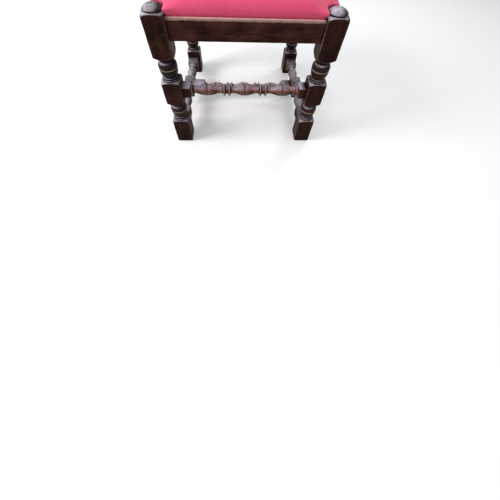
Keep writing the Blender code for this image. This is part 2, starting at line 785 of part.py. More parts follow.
def pad_rings(inset):
    """Levels of the pad from its belly up to its middle, set in from the cover's outside by inset."""
    rings = [seat_ring(PAD_BELLY, inset, belly_height, PAD_CORNER)]
    for step in range(1, ROLL_STEPS + 1):
        angle = step / ROLL_STEPS * math.pi / 2
        inward = PAD_EDGE_ROLL * (1 - math.cos(angle))
        height = belly_height + (edge_height - inset - belly_height) * math.sin(angle)
        rings.append(seat_ring(PAD_BELLY - inward, inset * math.cos(angle), height, PAD_CORNER))
    edge = rings[-1]
    for share in CROWN_RINGS:
        rings.append([(x * share, y * share, z) for x, y, z in edge])
    lifted = []
    for number, ring in enumerate(rings):
        lift = min(1.0, number / ROLL_STEPS)
        lifted.append([(x, y, z + lift * crown_at(x, y)) for x, y, z in ring])
    return lifted


def add_skin(bm, rings, top):
    """Faces between the rings, closed at the last one by a fan to the point top."""
    levels = [[bm.verts.new(point) for point in ring] for ring in rings]
    for low, high in zip(levels, levels[1:]):
        for number in range(len(low)):
            after = (number + 1) % len(low)
            bm.faces.new((low[number], low[after], high[after], high[number]))
    apex = bm.verts.new(top)
    last = levels[-1]
    for number in range(len(last)):
        bm.faces.new((last[number], last[(number + 1) % len(last)], apex))
    return levels[0]


def build_hessian():
    outline = seat_outline(-HESSIAN_INSET, -HESSIAN_INSET, HESSIAN_INSET / 2)
    mesh = extruded_mesh("hessian", outline, hessian_low, hessian_low + HESSIAN, Matrix())
    add_object("hessian", mesh, hessian_cloth, drop_in_seat)


def build_stuffing():
    inset = COVER + FIT
    base = seat_ring(0, inset, stuffing_low, PAD_CORNER)
    bm = bmesh.new()
    foot = add_skin(bm, [base] + pad_rings(inset), (0, 0, edge_height - inset + PAD_CROWN))
    bm.faces.new(foot)
    mesh = finished_mesh("stuffing", bm)
    mesh.shade_smooth()
    mesh.set_sharp_from_angle(angle=SHARP_PAD)
    add_object("stuffing", mesh, fibre, drop_in_seat)


def cover_rings(inset):
    """Levels of one side of the cover, from its edge turned under the seat frame to the pad's belly."""
    low = cover_low + inset
    under = seat_outline(-COVER_RETURN, -COVER_NOTCH_RETURN, COVER_CORNER - inset)
    rings = [[(x, y, low) for x, y in under]]
    rings.append(seat_ring(0, inset, low, COVER_CORNER))
    rings.append(seat_ring(0, inset, seat_frame_high + FIT, COVER_CORNER))
    middle_height = (seat_frame_high + belly_height) / 2
    rings.append(seat_ring(PAD_BELLY / 2, inset, middle_height, PAD_CORNER))
    return rings


def build_cover():
    bm = bmesh.new()
    edges = []
    for inset in (0, COVER):
        top = (0, 0, edge_height - inset + PAD_CROWN)
        edges.append(add_skin(bm, cover_rings(inset) + pad_rings(inset), top))
    outer, inner = edges
    for number in range(len(outer)):
        after = (number + 1) % len(outer)
        bm.faces.new((outer[number], outer[after], inner[after], inner[number]))
    mesh = finished_mesh("seat_cover", bm)
    mesh.shade_smooth()
    mesh.set_sharp_from_angle(angle=SHARP_PAD)
    add_object("seat_cover", mesh, red_fabric, drop_in_seat)


for existing in list(bpy.data.objects):
    bpy.data.objects.remove(existing)

oak = make_material("dark_oak", (0.062, 0.030, 0.021), 0.34)
peg_oak = make_material("oak_peg", (0.090, 0.048, 0.030), 0.42)
beech = make_material("beech", (0.42, 0.27, 0.15), 0.70)
jute = make_material("jute_webbing", (0.33, 0.24, 0.14), 0.95)
hessian_cloth = make_material("hessian", (0.40, 0.30, 0.18), 0.95)
fibre = make_material("stuffing_fibre", (0.20, 0.15, 0.10), 1.0)
red_fabric = make_material("red_fabric", (0.60, 0.065, 0.13), 0.90)

stool = add_empty("stool")
drop_in_seat = add_empty("drop_in_seat", (0, 0, rebate_floor), stool)

stool_legs = build_legs()
build_rails(stool_legs)
build_high_stretchers(stool_legs)
build_low_stretchers(stool_legs)
build_seat_frame()
build_webbing()
build_hessian()
build_stuffing()
build_cover()
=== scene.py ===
"""Looks of the upholstered stool: waxed oak, worn arrises and a stuffed seat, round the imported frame.

Metres, +Z up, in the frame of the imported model. The front is towards -Y.
"""

import math

import bmesh
import bpy
import numpy as np
from mathutils import Matrix, Vector, noise


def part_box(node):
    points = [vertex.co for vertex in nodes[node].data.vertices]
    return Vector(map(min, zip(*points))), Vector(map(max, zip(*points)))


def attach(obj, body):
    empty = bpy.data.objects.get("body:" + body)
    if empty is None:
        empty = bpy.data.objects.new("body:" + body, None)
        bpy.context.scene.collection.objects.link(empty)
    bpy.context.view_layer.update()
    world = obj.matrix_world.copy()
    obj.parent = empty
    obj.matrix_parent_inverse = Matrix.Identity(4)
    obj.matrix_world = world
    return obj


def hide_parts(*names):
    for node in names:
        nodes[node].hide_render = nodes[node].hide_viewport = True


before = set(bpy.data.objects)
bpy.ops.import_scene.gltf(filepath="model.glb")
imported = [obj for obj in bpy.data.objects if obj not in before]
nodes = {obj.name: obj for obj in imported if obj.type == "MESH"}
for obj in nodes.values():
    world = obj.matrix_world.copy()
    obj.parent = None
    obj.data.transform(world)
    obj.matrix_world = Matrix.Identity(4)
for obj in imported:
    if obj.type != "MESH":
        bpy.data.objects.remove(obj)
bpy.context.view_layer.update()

# Photograph and the camera that was fitted to it
PHOTO_SIZE = 500
FOCAL_PIXELS = 243.24
PRINCIPAL_ROW = 158
CAMERA_PLACE = Vector((-0.01927, -0.73421, 0.64523))
CAMERA_PITCH = math.radians(54.881)
CAMERA_YAW = math.radians(4.78)
CAMERA_ROLL = math.radians(3.671)
SENSOR = 36.0

# Plan and heights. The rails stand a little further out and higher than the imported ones
WIDTH = 0.438
DEPTH = 0.422
RAIL_TOP = 0.3942
RAIL_SETBACK = 0.005
SIDE_RAIL_SETBACK = 0.008
RAIL_INNER = 0.035
HIGH_HEIGHT = 0.19675
LOW_HEIGHT = 0.059

# Legs
LEG = 0.048
FOOT_CHAMFER = 0.003
FOOT_ROUND = 0.007
FOOT_STEP = 0.001
LEG_SHOULDER = 0.0063
LEG_UNDER_SHOULDER = 0.0155
LEG_TOP_SHOULDER = 0.0108
LEG_RING_HEIGHT = 0.0042
LEG_RING_FLAT = 0.0033
LEG_RING_GROOVE = 0.0019
# Half height of the painted shade in each groove under the rings
LEG_GROOVE_SHADE = 0.0013
LEG_LOW_RING = 0.0432 / 2
LEG_HIGH_RING = 0.0372 / 2
LEG_NECK = 0.0305 / 2
LEG_NECK_HEIGHT = 0.0016
LEG_TOP_NECK_HEIGHT = 0.004
LEG_BOWL = 0.046 / 2
LEG_BOWL_SHARE = 0.53
LEG_LINE_HEIGHT = 0.0014
LEG_LINE_PROUD = 0.0006
LEG_LINE_DEPTH = 0.0013
LEG_LINE_WEAR = 0.0014
LEG_BEAD = 0.0468 / 2
LEG_BEAD_LOW_ANGLE = math.radians(-18)
LEG_TOP_NECK = 0.0284 / 2
TURNINGS = ((0.0895, 0.1655), (0.228, 0.3065))
LEG_BLOCK_TOP = 0.3925
FINIAL_GROOVE = 0.038 / 2
FINIAL_GROOVE_HEIGHT = 0.003
FINIAL = 0.0452 / 2
FINIAL_DOME = 0.01

# Rails
RAIL_HEIGHT = 0.049
RAIL_LIP = 0.01
RAIL_LIP_ROUND = 0.0048
RAIL_REBATE = 0.0152
RAIL_ARRIS = 0.0012
LIP_WEAR_LOW = 0.0052
LIP_WEAR_HIGH = 0.0016

# Stretchers
HIGH_SECTION = 0.033
HIGH_END_BLOCK = 0.0205
LOW_SECTION = 0.036
LOW_END_BLOCK = 0.042
LOW_MIDDLE_BLOCK = 0.072
MEDIAL_END_BLOCK = 0.036
STRETCHER_SHOULDER = 0.0031
FILLET = 0.0042
FILLET_GROOVE = 0.0025
STRETCHER_NECK = 0.019 / 2
BELLY = 0.0306 / 2
BAND_WIDTH = 0.0056
BAND_PROUD = 0.0012
BAND_GROOVE = 0.0011
STRETCHER_RING = 0.0328 / 2
STRETCHER_RING_FLAT = 0.0024
RING_SPACING = 0.0147
VALLEY = 0.0214 / 2
RING_BASE = 0.0044
BELLY_RISE_SHARE = 0.92
RINGS_FROM_MIDDLE = 0.05
NECK_FROM_RING = 0.0118

# Seat: its clearances, and heights above the floor of the rails' rebate
SEAT_CLEARANCE = 0.0008
POST_CLEARANCE = 0.0015
COVER_LOW = 0.0003
COVER_THICKNESS = 0.0012
COVER_RETURN = 0.02
COVER_NOTCH_RETURN = 0.009
SEAT_FRAME_HIGH = 0.0183
PAD_BELLY_HEIGHT = 0.0306
PAD_EDGE_HEIGHT = 0.047
PAD_BELLY = 0.005
PAD_EDGE_ROLL = 0.0245
CORNER_FULL = 0.009
CORNER_FULL_REACH = 0.026
POST_BULGE = 0.0035
PAD_CROWN = 0.0165
ROLL_STEPS = 6
CROWN_RINGS = (0.9, 0.75, 0.6, 0.45, 0.3, 0.15)
FACE_STEPS = 56
NOTCH_STEPS = 7

# Cloth of the seat
VOXEL = 0.0045
CLOTH_FRAMES = 20
CLOTH_PRESSURE = 4.0
CLOTH_CAP = 0.006
SMOOTHING = 8
HELD_ABOVE_RAIL = 0.003
HELD_BY_POST = 0.003
TOUCH = 0.0007
LIP_SLOPE = 5.0
CREASE_DEPTH = 0.0017
CREASE_RIDGE = 0.0005
CREASE_WIDTH = 0.0085
CREASE_LENGTH = 0.03
CREASE_TURNS = (0.12, -0.2, 0.05, -0.1)
POST_DROP = 0.013
POST_DROP_REACH = 0.038
POST_FILL = 1.4
POST_FILL_REACH = 0.022
LUMPS = 0.0011
LUMP_NOISE = 17
STUFFING_INSET = 0.0024

# Webbing and hessian
WEB = 0.0012
WEB_WIDTH = 0.05
WEB_SPACING_X = 0.099
WEB_SPACING_Y = 0.094
WEB_STEP = 0.003
WEB_SETTLE = 5
WEB_ROUND = 0.8
HESSIAN_INSET = 0.006

# How round the shoulders of the blocks are, from a cone at 0
SHOULDER_ROUND = 0.3
UNDER_SHOULDER_ROUND = 0.05
TOP_SHOULDER_ROUND = 1.0

# How far a piece runs into its neighbour, so that no line of light shows between them
SEATED = 0.0006

# Colours of the oak, its painted shade, light and sheen, and the side that the painted sky lies on
OAK_DARK = (0.008, 0.0042, 0.0034)
OAK_MIDDLE = (0.03, 0.0105, 0.0078)
OAK_LIGHT = (0.054, 0.0225, 0.0162)
OAK_RED = (0.068, 0.0235, 0.0168)
# Near black of the pores and grime, also laid as painted shade
OAK_PORE_AND_SHADE = (0.004, 0.0022, 0.0018)
OAK_RUBBED = (0.3, 0.215, 0.195)
OAK_TAN = (0.42, 0.285, 0.205)
OAK_BARE = (0.76, 0.46, 0.4)
OAK_BARE_LINE = (0.78, 0.55, 0.42)
OAK_WAXED = (0.019, 0.0105, 0.009)
OAK_GREYED = (0.13, 0.108, 0.118)
# Painted shade and a half-lit tone on the turned stretchers
PAINTED_SHADE_MAROON = (0.06, 0.02, 0.017)
HALF_LIT_MAHOGANY = (0.24, 0.08, 0.07)
# A painted highlight, then dust under a painted sheen; the blue also lifts faces that lie in shade
PAINTED_HIGHLIGHT_PINK = (0.45, 0.265, 0.265)
DUST_AND_SHEEN_GREY = (0.3, 0.275, 0.31)
DUST_AND_SHEEN_PALE = (0.47, 0.435, 0.515)
DUST_AND_SHEEN_BLUE = (0.6, 0.59, 0.72)
# Side of the painted sky, to which faces turn for their painted sheen
PAINTED_SKY_SIDE = (-0.22, -0.25, 0.94)

# Colours of pegs, seat frame and cloths
PEG_DARK = (0.012, 0.0052, 0.0035)
PEG_PALE = (0.036, 0.015, 0.009)
BEECH_DARK = (0.3, 0.17, 0.085)
BEECH_PALE = (0.5, 0.33, 0.19)
BEECH_FLECK = (0.22, 0.11, 0.05)
FABRIC_DARK = (0.6, 0.053, 0.118)
FABRIC_PALE = (0.78, 0.096, 0.204)
JUTE_DARK = (0.17, 0.115, 0.06)
JUTE_PALE = (0.42, 0.31, 0.18)
HESSIAN_DARK = (0.2, 0.14, 0.075)
HESSIAN_PALE = (0.5, 0.38, 0.23)
FIBRE_DARK = (0.09, 0.06, 0.036)
FIBRE_PALE = (0.26, 0.19, 0.12)

# Patterns of the oak, in repeats per metre, those of the grain along it and across it
GRAIN_SCALE = (6, 85)
PORE_SCALE = (26, 560)
SMOKE_SCALE = 13
PATCH_SCALE = 24
SCUFF_SCALE = 120

# Between which values of its patterns each layer of the oak comes in, and how much of it there is
PATCH_RANGE = (0.4, 0.68)
SMOKE_RANGE = (0.36, 0.6)
PORE_RANGE = (0.58, 0.72)
PORE_SHARE = 0.75
EDGE_RUBBED = (0.38, 0.95)
SCUFF_RANGE = (0.36, 0.62)
BARE_RANGE = (0.1, 0.7)
BARE_SHARE = 0.97
LIP_UNEVEN = (-0.27, 0.12)
# How much of the dust and painted sheen stays on a bare lip
LIP_DUST_AND_SHEEN = 0.12
MOTTLE_SCUFFS = (0.3, 0.7)
MOTTLE_SPREAD = (-0.3, 0.3)
MOTTLE_RANGE = (0.28, 0.72)
SHADE_SHARE = 0.7
GROOVE_RANGE = (-0.05, -0.32)

# Light: the name, place, size, power and colour of each lamp, and what the world and the floor add
LAMPS = (
    ("sky", (-0.25, 1.74, 1.62), (2.4, 1.4), 6, (0.92, 0.95, 1.0)),
    ("left", (-1.7, -0.5, 1.4), (0.9, 0.9), 38, (1.0, 0.98, 0.96)),
    ("overhead", (0.1, -0.1, 2.3), (1.6, 1.6), 8, (1.0, 1.0, 1.0)),
    ("front", (0.45, -1.5, 1.75), (1.2, 0.9), 7, (0.92, 0.96, 1.0)),
    ("window", (0.95, 0.75, 1.5), (0.32, 0.32), 6, (0.9, 0.95, 1.0)),
)
LAMP_TARGET = (0, 0, 0.25)
WORLD_LIGHT = 0.37
WORLD_SEEN = 1.0
FLOOR_HALF = 6
FLOOR_GREY = 0.82
FLOOR_GLOW = 0.2

# Fineness of the turned surfaces
AROUND = 104
CORNER_BIAS = 0.45
ARC_STEPS = 9
ARC_SHARES = [step / ARC_STEPS for step in range(1, ARC_STEPS + 1)]
ROUND_STEPS = 4
SOFT_CORNER = 0.0004
TURNED_STEP = 0.0011
BLOCK_STEP = 0.005
RAIL_STEP = 1.5 * TURNED_STEP
ROW_GAP = 1e-7
PAST_ARRIS = 0.08
EDGE_REACH = 0.0016
EDGE_FULL = 0.24

# Wear: how round the arrises are, and how uneven the surface is
ARRIS_POWER = 24
ARRIS_POWER_SPREAD = 12
ARRIS_NOISE = 45
SEED_STEPS = (3.7, 5.3, 7.1)
ARC_ROUND = 0.0011
WAVINESS = 0.00018
WAVINESS_NOISE = 55

# Where painted shade darkens the legs and keeps their dust and painted sheen off: under overhangs,
# on the lower part of each ball and in the grooves under the rings
SHELTER_REACH = 0.03
SHELTER_START = 0.006
SHELTER_DEPTH = 0.004
BALL_SHADE = 0.3
BALL_START = 0.25
BALL_END = 0.62

# Keeps a length that is divided by from being nothing
TINY = 1e-12


def arc(start, end, leaves_along_axis):
    """A quarter of an ellipse between two (radius, along) points, less its first."""
    points = []
    for share in ARC_SHARES:
        angle = share * math.pi / 2
        slow = 1 - math.cos(angle)
        fast = math.sin(angle)
        across, along = (slow, fast) if leaves_along_axis else (fast, slow)
        radius = start[0] + (end[0] - start[0]) * across
        points.append((radius, start[1] + (end[1] - start[1]) * along))
    return points


def mirrored(points, middle=0.0):
    """The same outline the other way round, past the middle."""
    return [(radius, 2 * middle - along) for radius, along in reversed(points)]


def shoulder(corner, inner, section, inner_radius, roundness=SHOULDER_ROUND):
    """The sloping shoulder of a square block, from its arris inwards."""
    start = (section * math.sqrt(0.5), corner)
    end = (inner_radius, inner)
    curved = arc(start, end, True)
    points = [start]
    for step, point in enumerate(curved, 1):
        straight = Vector(start).lerp(Vector(end), step / len(curved))
        points.append(tuple(straight.lerp(Vector(point), roundness)))
    return points


def ball_heights(low, high):
    """Heights on a ball: the foot of its bowl, the line round it and the top of its bead."""
    bowl_low = low + LEG_SHOULDER + 2 * LEG_RING_HEIGHT + LEG_NECK_HEIGHT
    bead_high = high - LEG_UNDER_SHOULDER - LEG_TOP_NECK_HEIGHT
    return bowl_low, bowl_low + LEG_BOWL_SHARE * (bead_high - bowl_low), bead_high


def leg_turning(low, high):
    """One turned stretch of a leg, upwards."""
    bowl_low, line, bead_high = ball_heights(low, high)
    bead_low = line + 2 * LEG_LINE_HEIGHT
    first_ring = low + LEG_SHOULDER
    second_ring = first_ring + LEG_RING_HEIGHT
    rings = []
    for radius, foot in ((LEG_LOW_RING, first_ring), (LEG_HIGH_RING, second_ring)):
        rings += [(radius, foot), (radius - LEG_RING_GROOVE, foot + LEG_RING_GROOVE / 2)]
        rings += [(radius, foot + LEG_RING_GROOVE), (radius, foot + LEG_RING_FLAT)]
    points = shoulder(low, first_ring, LEG, LEG_LOW_RING) + rings[1:]
    points += [(LEG_NECK, second_ring + LEG_RING_HEIGHT), (LEG_NECK, bowl_low)]
    points += arc((LEG_NECK, bowl_low), (LEG_BOWL, line), False)
    points += [
        (LEG_BOWL - LEG_LINE_DEPTH, line + LEG_LINE_HEIGHT / 2),
        (LEG_BOWL + LEG_LINE_PROUD, line + LEG_LINE_HEIGHT),
        (LEG_BEAD - LEG_LINE_DEPTH, bead_low),
    ]
    low_sine = math.sin(LEG_BEAD_LOW_ANGLE)
    for part in ARC_SHARES:
        angle = LEG_BEAD_LOW_ANGLE + (math.pi / 2 - LEG_BEAD_LOW_ANGLE) * part
        share = (math.sin(angle) - low_sine) / (1 - low_sine)
        radius = LEG_TOP_NECK + (LEG_BEAD - LEG_TOP_NECK) * math.cos(angle)
        points.append((radius, bead_low + (bead_high - bead_low) * share))
    points.append((LEG_TOP_NECK, bead_high + LEG_TOP_NECK_HEIGHT / 2))
    top = shoulder(high, high - LEG_UNDER_SHOULDER, LEG, LEG_TOP_NECK, UNDER_SHOULDER_ROUND)
    return points + top[::-1]


def leg_profile():
    """The whole leg from the floor to the top of its finial."""
    points = [(PAST_ARRIS, step * FOOT_STEP) for step in range(round(FOOT_ROUND / FOOT_STEP))]
    for low, high in TURNINGS:
        points += [(PAST_ARRIS, low)] + leg_turning(low, high) + [(PAST_ARRIS, high)]
    groove_low = LEG_BLOCK_TOP + LEG_TOP_SHOULDER
    rim = groove_low + FINIAL_GROOVE_HEIGHT
    points.append((PAST_ARRIS, LEG_BLOCK_TOP))
    points += shoulder(LEG_BLOCK_TOP, groove_low, LEG, FINIAL_GROOVE, TOP_SHOULDER_ROUND)
    points.append((FINIAL, rim))
    ball = (FINIAL**2 + FINIAL_DOME**2) / (2 * FINIAL_DOME)
    for share in ARC_SHARES:
        angle = math.asin(FINIAL / ball) * (1 - share)
        points.append((ball * math.sin(angle), rim + FINIAL_DOME - ball * (1 - math.cos(angle))))
    return points


def baluster(start, end):
    """A belly between two necks, with a raised band round its middle."""
    middle = (start + end) / 2
    low = middle - BAND_WIDTH / 2
    rise = []
    for share in [0] + ARC_SHARES:
        swell = (1 - math.cos(min(1, share / BELLY_RISE_SHARE) * math.pi)) / 2
        radius = STRETCHER_NECK + (BELLY - STRETCHER_NECK) * swell
        rise.append((radius, start + (low - start) * share))
    groove = BELLY - BAND_GROOVE
    band = [
        (groove, low + BAND_GROOVE / 2),
        (BELLY + BAND_PROUD, (low + middle) / 2),
    ]
    return rise + band + [(groove, middle)] + mirrored(rise + band, middle)


def ring_pair(middle):
    """Two sharp rings with a hollow between them."""
    half = RING_SPACING / 2
    low = [
        (STRETCHER_NECK, middle - half - RING_BASE),
        (STRETCHER_RING, middle - half - STRETCHER_RING_FLAT / 2),
        (STRETCHER_RING, middle - half + STRETCHER_RING_FLAT / 2),
        (VALLEY, middle - half + RING_BASE),
    ]
    return low + mirrored(low, middle)


def block_end(corner, direction, section):
    """The end of a square block and its fillet, from the block outwards."""
    inner = corner + direction * STRETCHER_SHOULDER
    points = [(PAST_ARRIS, corner)]
    points += shoulder(corner, inner, section, STRETCHER_RING - FILLET_GROOVE)
    points.append((STRETCHER_RING, inner + direction * FILLET / 2))
    points.append((STRETCHER_NECK, neck_beside(corner, direction)))
    return points


def neck_beside(corner, direction):
    return corner + direction * (2 * STRETCHER_SHOULDER + FILLET)


def stretcher_end(neck, half, section, end_block):
    """The last baluster of a stretcher, from its inner neck, and the end block."""
    corner = half - end_block
    points = baluster(neck, neck_beside(corner, -1)) + block_end(corner, -1, section)[::-1]
    return points + [(PAST_ARRIS, half + SEATED)]


def long_stretcher_profile(half, section, end_block):
    """Three balusters and two pairs of rings between the end blocks."""
    neck_offset = RING_SPACING / 2 + NECK_FROM_RING
    inner_neck = RINGS_FROM_MIDDLE - neck_offset
    middle = baluster(-inner_neck, inner_neck)
    upper = ring_pair(RINGS_FROM_MIDDLE)
    upper += stretcher_end(RINGS_FROM_MIDDLE + neck_offset, half, section, end_block)
    return mirrored(upper) + middle + upper


def side_stretcher_profile(half):
    """A baluster on each side of the block at the middle."""
    inner = LOW_MIDDLE_BLOCK / 2
    upper = block_end(inner, 1, LOW_SECTION)
    upper += stretcher_end(neck_beside(inner, 1), half, LOW_SECTION, LOW_END_BLOCK)
    return mirrored(upper) + upper


def softened(points):
    """The outline with each of its corners cut a little."""
    result = [points[0]]
    for before, point, after in zip(points, points[1:], points[2:]):
        here = Vector(point)
        for other in (Vector(before), Vector(after)):
            length = (other - here).length
            if length > 0:
                cut = min(SOFT_CORNER, length / 3)
                result.append(tuple(here.lerp(other, cut / length)))
    return result + [points[-1]]


def between(start, end, step):
    """Points from start towards end, no further apart than step, less the end."""
    count = max(1, math.ceil((Vector(end) - Vector(start)).length / step))
    return [tuple(Vector(start).lerp(Vector(end), number / count)) for number in range(count)]


def stepped(points):
    """The outline with points close enough to follow its shape and wear."""
    result = []
    for start, end in zip(points, points[1:]):
        in_block = min(start[0], end[0]) >= PAST_ARRIS
        if max(start[0], end[0]) >= PAST_ARRIS and not in_block:
            result.append(start)
        else:
            result += between(start, end, BLOCK_STEP if in_block else TURNED_STEP)
    return result + [points[-1]]


def smooth_least(first, second, width):
    """The lesser of two arrays, with the corner where they cross rounded over width."""
    mix = np.clip(0.5 + 0.5 * (second - first) / width, 0, 1)
    return second + (first - second) * mix - width * mix * (1 - mix)


def noise_at(points, scale, seed):
    """Smooth noise from -1 to 1 at each point of an array of them."""
    shift = Vector([seed * step for step in SEED_STEPS])
    flat = points.reshape(-1, 3)
    values = [noise.noise(Vector(point) * scale + shift) for point in flat]
    return np.array(values).reshape(points.shape[:-1])


def grid_normals(grid):
    """Outward normals of a grid of points whose columns run round a closed loop."""
    around = np.roll(grid, -1, axis=1) - np.roll(grid, 1, axis=1)
    along = np.gradient(grid, axis=0)
    normals = np.cross(around, along)
    lengths = np.linalg.norm(normals, axis=2, keepdims=True)
    return normals / np.maximum(lengths, TINY)


def convexity(grid, normals):
    """How far each point stands out from those near it: -1 in a groove, 1 on an edge."""
    rows, columns = grid.shape[:2]
    nearby = np.zeros_like(grid)
    for row in range(rows):
        ring = grid[row]
        spacing = np.linalg.norm(np.roll(ring, -1, axis=0) - ring, axis=1).mean()
        steps = int(np.clip(round(EDGE_REACH / max(spacing, TINY)), 1, columns // 8))
        nearby[row] = (np.roll(ring, steps, axis=0) + np.roll(ring, -steps, axis=0)) / 2
    out = ((grid - nearby) * normals).sum(axis=2)
    for column in range(columns):
        line = grid[:, column]
        walked = np.concatenate(([0], np.cumsum(np.linalg.norm(np.diff(line, axis=0), axis=1))))
        walked += np.arange(rows) * TINY
        pair = np.zeros_like(line)
        for reach in (-EDGE_REACH, EDGE_REACH):
            for axis in range(3):
                pair[:, axis] += np.interp(walked + reach, walked, line[:, axis]) / 2
        out[:, column] += ((line - pair) * normals[:, column]).sum(axis=1)
    out[0] = out[1]
    out[-1] = out[-2]
    return np.clip(out / EDGE_REACH / EDGE_FULL, -1, 1)


def add_grid(name, grid, materials, pole=False, turned=None, **attributes):
    """A closed object from a grid of points: loops in columns, capped at both ends or drawn to a pole.

    Faces whose points are all turned take the second material.
    """
    rows, columns = grid.shape[:2]
    verts = grid.reshape(-1, 3).tolist()
    here = np.arange(rows * columns).reshape(rows, columns)
    after = np.roll(here, -1, axis=1)
    quads = np.stack((here[:-1], after[:-1], after[1:], here[1:]), axis=2)
    faces = quads.reshape(-1, 4).tolist() + [here[0, ::-1].tolist()]
    if pole:
        faces += [(start, end, len(verts)) for start, end in zip(here[-1].tolist(), after[-1].tolist())]
        verts.append(grid[-1].mean(axis=0).tolist())
    else:
        faces.append(here[-1].tolist())
    mesh = bpy.data.meshes.new(name)
    mesh.from_pydata(verts, [], faces)
    for key, values in attributes.items():
        flat = values.reshape(-1).tolist() + [0.0] * pole
        mesh.attributes.new(key, "FLOAT", "POINT").data.foreach_set("value", flat)
    mesh.shade_smooth()
    for material in materials:
        mesh.materials.append(material)
    if turned is not None:
        lathed = turned.reshape(-1).tolist() + [True] * pole
        finish = [all(lathed[corner] for corner in face) for face in faces]
        mesh.polygons.foreach_set("material_index", finish)
    return add_object(name, mesh)


def add_object(name, data):
    obj = bpy.data.objects.new(name, data)
    bpy.context.scene.collection.objects.link(obj)
    return obj


def keep(piece, body, slot, *replaced):
    """Places a piece on its body and hides the nodes it replaces. slot is not used."""
    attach(piece, body)
    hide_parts(*replaced)


def worn(grid, seed):
    """The grid with a slightly uneven surface, and its edges measured."""
    normals = grid_normals(grid)
    uneven = noise_at(grid, WAVINESS_NOISE, seed) * WAVINESS
    grid = grid + normals * uneven[:, :, None]
    return grid, convexity(grid, grid_normals(grid))


def turned_grid(profile, section, seed):
    """A square billet along Z, turned down to the profile where that is slimmer."""
    rows = np.array(stepped(softened(profile)))
    rows[:, 1] += np.arange(len(rows)) * ROW_GAP
    phase = np.arange(AROUND) / AROUND * 2 * math.pi
    angle = phase + CORNER_BIAS * np.sin(4 * phase) / 4
    cosine = np.abs(np.cos(angle))
    sine = np.abs(np.sin(angle))
    quarter = np.floor(angle / (math.pi / 2))
    places = np.zeros((len(rows), AROUND, 3))
    places[:, :, 0] = quarter
    places[:, :, 2] = rows[:, 1, None]
    power = ARRIS_POWER + ARRIS_POWER_SPREAD * noise_at(places, ARRIS_NOISE, seed)
    square = section / 2 / (cosine**power + sine**power) ** (1 / power)
    radius = smooth_least(rows[:, 0, None], square, ARC_ROUND)
    radius = np.minimum(np.maximum(radius, 0), square)
    along = np.repeat(rows[:, 1, None], AROUND, axis=1)
    grid = np.stack((radius * np.cos(angle), radius * np.sin(angle), along), axis=2)
    return grid, rows[:, 0, None] < square


def sheltered(grid):
    """How far what lies just above overhangs each point of a leg, from 0 to 1, for the painted shade under
    it.
    """
    reach = np.linalg.norm(grid[:, :, :2], axis=2)
    height = grid[:, :, 2].mean(axis=1)
    over = np.zeros_like(reach)
    for row in range(len(grid)):
        above = (height > height[row]) & (height < height[row] + SHELTER_REACH)
        if above.any():
            over[row] = reach[above].min(axis=1).max() - reach[row]
    return np.clip((over - SHELTER_START) / SHELTER_DEPTH, 0, 1)


def leg_marks(grid):
    """How far painted shade darkens each point of a leg, under overhangs, on the lower balls and in the
    ring grooves, and how bare its lines are.
    """
    height = grid[:, :, 2]
    shade = sheltered(grid)
    line = np.zeros_like(height)
    for low, high in TURNINGS:
        inside = (height - low) / (high - low)
        # Painted shade on the lower part of each ball
        shaded_ball = (inside > BALL_START) & (inside < BALL_END)
        shade = np.maximum(shade, BALL_SHADE * shaded_ball)
        # Painted shade in the grooves under the rings
        groove = low + LEG_SHOULDER + LEG_RING_GROOVE / 2
        for middle in (groove, groove + LEG_RING_HEIGHT):
            shade[np.abs(height - middle) < LEG_GROOVE_SHADE] = 1
        ridge = ball_heights(low, high)[1] + LEG_LINE_HEIGHT
        line = np.maximum(line, 1 - np.abs(height - ridge) / LEG_LINE_WEAR)
    return shade, line


def build_leg(name, x, y, seed):
    grid, turned = turned_grid(leg_profile(), LEG, seed)
    shade, line = leg_marks(grid)
    foot = np.clip(1 - grid[:, :, 2] / FOOT_ROUND, 0, 1) ** 2
    grid[:, :, :2] *= (1 - foot * FOOT_CHAMFER / (LEG / 2))[:, :, None]
    grid, edge = worn(grid, seed)
    grid[0, :, 2] = 0.0
    grid[:, :, 2] = np.maximum(grid[:, :, 2], 0)
    grid += np.array((x, y, 0))
    marks = {"edge": edge, "shade": shade, "lip": line}
    leg = add_grid(f"oak_{name}", grid, OAK["upright"], pole=True, turned=turned, **marks)
    keep(leg, "frame", "dark_oak", name)


def build_stretcher(name, profile, section, centre, kind, seed):
    grid, turned = turned_grid(profile, section, seed)
    grid, edge = worn(grid, seed)
    order = (1, 2, 0) if kind == "deep" else (2, 0, 1)
    grid = grid[:, :, order] + np.array(centre)
    stretcher = add_grid(f"oak_{name}", grid, OAK[kind], turned=turned, edge=edge)
    keep(stretcher, "frame", "dark_oak", name)


def rounded(corners):
    """A closed outline whose corners, each (x, y, radius), are rounded."""
    outline = []
    for number, (x, y, radius) in enumerate(corners):
        here = Vector((x, y))
        before = Vector(corners[number - 1][:2])
        after = Vector(corners[(number + 1) % len(corners)][:2])
        start = here + (before - here).normalized() * radius
        end = here + (after - here).normalized() * radius
        for step in range(ROUND_STEPS + 1):
            share = step / ROUND_STEPS
            outline.append(tuple(start.lerp(here, share).lerp(here.lerp(end, share), share)))
    return outline


def filled(outline, step):
    """A closed outline with points no further apart than step."""
    result = []
    for start, end in zip(outline, outline[1:] + outline[:1]):
        result += between(start, end, step)
    return result


